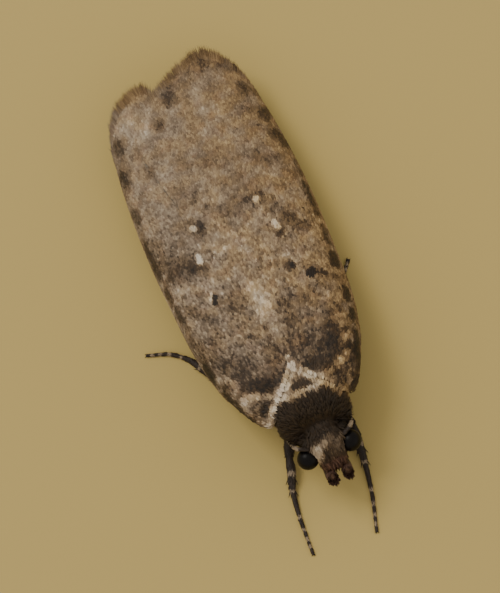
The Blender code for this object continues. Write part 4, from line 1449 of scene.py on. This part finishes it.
class MOTH_OT_back_scales(bpy.types.Operator):
    """Covers the thorax and its tegulae"""

    bl_idname = "moth.back_scales"
    bl_label = "Back scales"

    def execute(self, context):
        coat = context.scene.moth_coat
        rng = np.random.default_rng(31)
        centre, normal = skin_faces()
        _, s, z = centre.T
        keep = (s > 0.4) & (s < 2.5) & (z > 1.35) & (normal[:, 2] > -0.35)
        root, facing, unwrap = thinned(centre, normal, keep, 0.034, rng)
        x, s, _ = root.T
        out = ease(0.2, 1.0, np.abs(x)) * np.sign(x)
        lie = np.stack([out * 0.35, np.ones(len(root)), np.full(len(root), -0.15)], 1)
        rear = ease(0.95, 1.5, s)
        border = ease(-0.16, -0.04, np.abs(x) - curve(SHOULDER, s)) * rear
        flank = ease(0.65, 0.95, np.abs(x)) * (1 - rear)
        length = coat.hair_length * (1 - 0.45 * rear + 0.2 * border - 0.35 * flank)
        made = tufts(
            "back_scales", root, facing, lie, unwrap, length, 0.052, 0.26 - 0.1 * rear, rng,
            get_material("wing_scales", pattern_material, WING_GRAIN), swing=0.22, droop=0.16, markings=True,
        )  # fmt: skip
        settle(made, "thorax_scales")
        return {"FINISHED"}


class MOTH_OT_head_scales(bpy.types.Operator):
    """Covers the crown and the face"""

    bl_idname = "moth.head_scales"
    bl_label = "Head scales"

    def execute(self, context):
        rng = np.random.default_rng(41)
        centre, normal = skin_faces()
        eyes = [np.array(LEFT_EYE) * (side, 1, 1) for side in (1, -1)]
        away = np.minimum(*(np.linalg.norm(centre - eye, axis=1) for eye in eyes))
        keep = (centre[:, 1] < 0.62) & (away > 0.3) & (centre[:, 2] > 0.75)
        root, facing, unwrap = thinned(centre, normal, keep, 0.028, rng)
        x, s, z = root.T
        front = 1 - ease(-0.2, 0.35, s)
        temple = ease(0.18, 0.32, s) * ease(0.34, 0.46, np.abs(x))
        mouth = (1 - ease(-0.32, -0.18, s)) * ease(0.95, 1.1, z)
        lie = np.stack([x * (0.5 + temple), 1.3 * temple - 1.0 - mouth, -0.5 * front], 1)
        length = 0.17 + 0.06 * ease(0.1, 0.5, s) + 0.06 * temple + 0.04 * mouth
        made = tufts(
            "head_scales", root, facing, lie, unwrap, length, 0.042, 0.3 + 0.45 * temple + 0.25 * mouth, rng,
            get_material("wing_scales", pattern_material, WING_GRAIN), swing=0.25, droop=0.22, markings=True,
        )  # fmt: skip
        settle(made, "face_scales")
        return {"FINISHED"}


class MOTH_OT_underside_scales(bpy.types.Operator):
    """Covers the breast and the abdomen"""

    bl_idname = "moth.underside_scales"
    bl_label = "Underside scales"

    def execute(self, context):
        rng = np.random.default_rng(51)
        centre, normal = skin_faces()
        keep = (centre[:, 1] > 0.55) & (centre[:, 2] < 1.45) & (normal[:, 2] < 0.45)
        for leg in map(Leg, LEGS):
            thigh = leg.path[leg.at < 1.2 * leg.knee]
            reach = np.linalg.norm(centre[:, None] - thigh[None], axis=2).min(1)
            keep &= reach > BARE_REACH
        root, facing, unwrap = thinned(centre, normal, keep, 0.046, rng)
        lie = np.stack([root[:, 0] * 0.15, np.ones(len(root)), np.zeros(len(root))], 1)
        breast = 1 - ease(2.4, 2.9, root[:, 1])
        material = get_material("belly_scales", plain_material, *BELLY, CLOUD_SCALE)
        made = tufts(
            "underside_scales", root, facing, lie, unwrap, 0.17 - 0.05 * breast, 0.066 - 0.018 * breast,
            0.14, rng, material, swing=0.2, droop=0.05,
        )  # fmt: skip
        settle(made, "abdomen_scales")
        return {"FINISHED"}


class MOTH_OT_leg_scales(bpy.types.Operator):
    """Covers the six legs with ringed scales"""

    bl_idname = "moth.leg_scales"
    bl_label = "Leg scales"

    def execute(self, context):
        material = get_material("leg_scales", leg_material)
        for k, name in enumerate(LEGS):
            rng = np.random.default_rng(61 + k)
            leg = Leg(name)
            at, angle = [], []
            for row, place in enumerate(np.arange(0.04, leg.length - 0.03, 0.036)):
                i = min(int(np.searchsorted(leg.at, place)), LEG_STEPS - 1)
                count = max(int(math.tau * leg.radius[i] / 0.034), 6)
                at.append(place + rng.uniform(-0.012, 0.012, count))
                turn = np.arange(count) + 0.5 * (row % 2) + rng.uniform(-0.3, 0.3, count)
                angle.append(turn / count * math.tau)
            at, angle = np.concatenate(at), np.concatenate(angle)
            ahead = unit(sampled(at, leg.at, leg.direction))
            normal = spokes(ahead, angle)
            proud = 0.028 * (1 - ease(0.5, 0.7, at / leg.knee))
            root = sampled(at, leg.at, leg.path)
            root = root + normal * (np.interp(at, leg.at, leg.radius) + proud)[:, None]
            unwrap = unwrapped(at / leg.length, angle / math.tau)
            tarsus = ease(leg.ankle - 0.1, leg.ankle + 0.1, at)
            made = tufts(
                name + "_scales", root, normal, ahead, unwrap, 0.12 - 0.03 * tarsus, 0.046 - 0.008 * tarsus,
                0.2 - 0.05 * tarsus, rng, material, keel=0.008, sink=0.006,
            )  # fmt: skip
            rings = np.zeros(len(root))
            for joint in leg.joints:
                rings = np.maximum(rings, np.exp(-(((at - joint + 0.01) / 0.06) ** 4)))
            middle = leg.knee + (leg.ankle - leg.knee) * 0.45
            rings = np.maximum(rings, 0.75 * np.exp(-(((at - middle) / 0.09) ** 2)))
            note(made.data, "ring", np.repeat(rings, len(SCALE)))
            # no scale goes below the floor
            places = np.zeros(len(made.data.vertices) * 3)
            made.data.vertices.foreach_get("co", places)
            places[2::3] = np.maximum(places[2::3], 0.0)
            made.data.vertices.foreach_set("co", places)
            settle(made, "leg_scales")
        return {"FINISHED"}


class MOTH_OT_palps(bpy.types.Operator):
    """Builds the two palps and their brushes"""

    bl_idname = "moth.palps"
    bl_label = "Palps"

    def execute(self, context):
        skin_finish = get_material("palp_skin", plain_material, *PALP_SKIN, ridges=False)
        brush = get_material("palp_scales", plain_material, *PALPS, 6.0)
        for side, name, rng in both_sides(71):
            spread, shift = PALP_SPREAD[side]
            line = [(side * (x * spread + shift), s, z, r) for x, s, z, r in PALP_LINE]
            path, direction, _ = along_line(line, 60)
            path, radius = path[:, :3], path[:, 3]
            share = np.linspace(0, 1, 60)
            across = unit(np.cross(direction, [1.0, 0, 0]))
            tube = tube_mesh(path, direction, radius, around=14, steep=True)
            skin = skinned("palp_skin_" + name, tube, skin_finish)
            settle(skin, "palp_scales", "palp_" + name)
            count = 1100
            at = rng.uniform(0.1, 0.98, count)
            angle = rng.uniform(0, math.tau, count)
            ahead = unit(sampled(at, share, direction))
            first = unit(sampled(at, share, across))
            second = np.cross(ahead, first)
            normal = first * np.cos(angle)[:, None] + second * np.sin(angle)[:, None]
            root = sampled(at, share, path) + normal * np.interp(at, share, radius)[:, None]
            last = ease(0.7, 0.8, at)
            forward = np.clip(-normal[:, 1], 0, 1) * ease(0.3, 0.5, at) * (1 - last)
            length = 0.11 + 0.09 * forward - 0.03 * last
            unwrap = unwrapped(at, angle / math.tau)
            made = tufts(
                "palp_brush_" + name, root, normal, ahead, unwrap, length, 0.036 - 0.01 * last,
                0.22 + 0.3 * forward - 0.08 * last, rng, brush, swing=0.16, droop=0.12, keel=0.008,
            )  # fmt: skip
            settle(made, "palp_scales")
        return {"FINISHED"}


class MOTH_OT_antennae(bpy.types.Operator):
    """Builds the two ringed antennae, swept back under the wings"""

    bl_idname = "moth.antennae"
    bl_label = "Antennae"

    def execute(self, context):
        material, sketch, shader = new_material("antenna_horn", 0.5)
        ring = sketch.remap(sketch.attribute("ring"), 0.5, 0.8)
        tones = (0.028, 0.018, 0.012, 1.0), (0.26, 0.2, 0.13, 1.0)
        sketch.feed(shader.inputs["Base Color"], sketch.mix(ring, *tones))
        # length of an antenna, of its bare rings and of its first joint
        span, spacing, scape = 6.6, 0.11, 0.42
        steps, around, count = 420, 10, 320
        for side, name, rng in both_sides(81):
            path, direction, _ = along_line([(side * x, s, z) for x, s, z in ANTENNA_LINE], steps)
            at = np.linspace(0, span, steps)
            radius = 0.04 - 0.015 * at / span + 0.01 * np.exp(-(((at - 0.2) / 0.21) ** 4))
            beads = np.abs(np.sin(at * math.pi / spacing))
            radius = radius * (0.86 + 0.14 * beads**0.5)
            tube = tube_mesh(path, direction, radius, around)
            made = facing_out(set_down("antenna_horn_" + name, *tube, [material]))
            rings = np.where(at < 0.43, 0.45, (np.sin(at * math.tau / spacing + 1.2) > 0.75) * 0.9)
            note(made.data, "ring", np.repeat(rings, around))
            settle(made, "antenna_surface", "antenna_" + name)
            at = rng.uniform(0.0, scape, count)
            angle = rng.uniform(0, math.tau, count)
            step = (at / span * (steps - 1)).astype(int)
            ahead = direction[step]
            normal = spokes(ahead, angle)
            root = path[step] + normal * radius[step][:, None]
            unwrap = unwrapped(at / scape, angle / math.tau)
            made = tufts(
                "scape_scales_" + name, root, normal, ahead, unwrap, 0.085, 0.03, 0.12, rng,
                get_material("leg_scales", leg_material), keel=0.006, sink=0.004,
            )  # fmt: skip
            note(made.data, "ring", np.repeat(0.72 * ease(0.16, 0.26, at), len(SCALE)))
            settle(made, "antenna_surface")
        return {"FINISHED"}


class MOTH_OT_eyes(bpy.types.Operator):
    """Builds the two compound eyes with their facets"""

    bl_idname = "moth.eyes"
    bl_label = "Eyes"

    def execute(self, context):
        material, sketch, shader = new_material("eye_surface", 0.36, specular=0.14)
        shine = sketch.noise(sketch.attribute("place", "Vector"), 9.0)
        tones = (0.003, 0.003, 0.003, 1.0), (0.008, 0.006, 0.006, 1.0)
        sketch.feed(shader.inputs["Base Color"], sketch.mix(shine, *tones))
        for name in ("left", "right"):
            low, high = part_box("eye_" + name)
            bm = bmesh.new()
            bmesh.ops.create_icosphere(bm, subdivisions=5, radius=1.0)
            dual = bmesh.new()
            corner = {f: dual.verts.new(f.calc_center_median().normalized()) for f in bm.faces}
            for v in bm.verts:
                spin = v.co.to_track_quat("Z", "Y").inverted()
                ordered = sorted(
                    v.link_faces, key=lambda f: math.atan2(*(spin @ (f.calc_center_median() - v.co)).yx)
                )
                dual.faces.new([corner[f] for f in ordered])
            bmesh.ops.inset_individual(dual, faces=dual.faces[:], thickness=0.01, depth=0.006)
            mesh = bpy.data.meshes.new("eye_facets_" + name)
            dual.to_mesh(mesh)
            bm.free()
            dual.free()
            radius = (high.x - low.x) / 2 * EYE_SHARE
            mesh.transform(Matrix.Translation((low + high) / 2) @ Matrix.Scale(radius, 4))
            mesh.materials.append(material)
            made = facing_out(add_object("eye_facets_" + name, mesh))
            plain_notes(made)
            settle(made, "eye_surface", "eye_" + name)
        return {"FINISHED"}


class MOTH_OT_stage(bpy.types.Operator):
    """Sets the floor, the lights and the camera"""

    bl_idname = "moth.stage"
    bl_label = "Stage"

    def execute(self, context):
        stage = context.scene.moth_stage
        reach = 0.4
        mesh = bpy.data.meshes.new("floor")
        corners = [(-reach, -reach, 0), (reach, -reach, 0), (reach, reach, 0), (-reach, reach, 0)]
        mesh.from_pydata(corners, [], [(0, 1, 2, 3)])
        floor = add_object("floor", mesh)
        material, _, shader = new_material("floor_paper", 0.9, specular=0.1)
        shader.inputs["Base Color"].default_value = (*stage.floor, 1.0)
        mesh.materials.append(material)

        world = bpy.data.worlds.new("studio")
        world.use_nodes = True
        background = world.node_tree.nodes["Background"]
        background.inputs["Color"].default_value = (1.0, 0.95, 0.86, 1.0)
        background.inputs["Strength"].default_value = 0.62
        context.scene.world = world

        middle = ORIGIN + Vector((0.0, 5.0, 1.0)) * MM
        right, up, sight = camera_axes(stage)
        key = middle - right * 0.1 + up * 0.09 - sight * 0.12
        add_light("key", key, middle, 0.115, 0.075, (1.0, 0.95, 0.86))
        fill = middle + right * 0.14 - up * 0.02 - sight * 0.08
        add_light("fill", fill, middle, 0.012, 0.12, (1.0, 0.88, 0.66))

        camera = bpy.data.cameras.new("camera")
        camera.lens = stage.lens
        camera.sensor_width = 36.0
        camera.clip_start = 0.005
        camera.clip_end = 5.0
        holder = add_object("camera", camera)
        target = ORIGIN + Vector((-0.261, 4.68, 1.5)) * MM
        turn = Matrix((right, up, -sight)).transposed()
        holder.matrix_world = Matrix.Translation(target - sight * stage.distance) @ turn.to_4x4()
        context.scene.camera = holder
        return {"FINISHED"}


def camera_axes(stage):
    """The camera's right, up and line of sight."""
    e, roll = stage.elevation, stage.roll
    level = Vector((1.0, 0.0, 0.0))
    above = Vector((0.0, math.sin(e), math.cos(e)))
    right = level * math.cos(roll) - above * math.sin(roll)
    up = level * math.sin(roll) + above * math.cos(roll)
    return right, up, Vector((0.0, math.cos(e), -math.sin(e)))


def add_light(name, place, target, power, size, colour):
    """A soft square light that points at the moth."""
    light = bpy.data.lights.new(name, "AREA")
    light.energy = power
    light.size = size
    light.color = colour
    holder = add_object(name, light)
    holder.location = place
    holder.rotation_mode = "QUATERNION"
    holder.rotation_quaternion = (target - place).to_track_quat("-Z", "Y")


class MOTH_PT_panel(bpy.types.Panel):
    """Lists the moth's sizes, colours and pieces"""

    bl_idname = "MOTH_PT_panel"
    bl_label = "Flat-bodied moth"
    bl_space_type = "VIEW_3D"
    bl_region_type = "UI"
    bl_category = "Moth"

    def draw(self, context):
        for settings in SETTINGS:
            group = getattr(context.scene, settings)
            for key in type(group).__annotations__:
                self.layout.prop(group, key)
        for operator in OPERATORS:
            self.layout.operator(operator.bl_idname)


SETTINGS = {
    "moth_coat": MothCoatSettings,
    "moth_colours": MothColourSettings,
    "moth_stage": MothStageSettings,
}
OPERATORS = (
    MOTH_OT_finishes, MOTH_OT_skin, MOTH_OT_wings, MOTH_OT_wing_scales, MOTH_OT_wing_underside,
    MOTH_OT_fringes, MOTH_OT_hindwing_scales, MOTH_OT_hindwing_fringes,
    MOTH_OT_back_scales, MOTH_OT_head_scales, MOTH_OT_underside_scales, MOTH_OT_leg_scales,
    MOTH_OT_palps, MOTH_OT_antennae, MOTH_OT_eyes, MOTH_OT_stage,
)  # fmt: skip


def register():
    for each in (*SETTINGS.values(), *OPERATORS, MOTH_PT_panel):
        bpy.utils.register_class(each)
    for name, settings in SETTINGS.items():
        setattr(bpy.types.Scene, name, PointerProperty(type=settings))


def unregister():
    for name in SETTINGS:
        delattr(bpy.types.Scene, name)
    for each in reversed((*SETTINGS.values(), *OPERATORS, MOTH_PT_panel)):
        bpy.utils.unregister_class(each)


def main():
    register()
    for operator in OPERATORS:
        group, name = operator.bl_idname.split(".")
        getattr(getattr(bpy.ops, group), name)()
    bpy.context.view_layer.update()


if __name__ == "__main__":
    main()
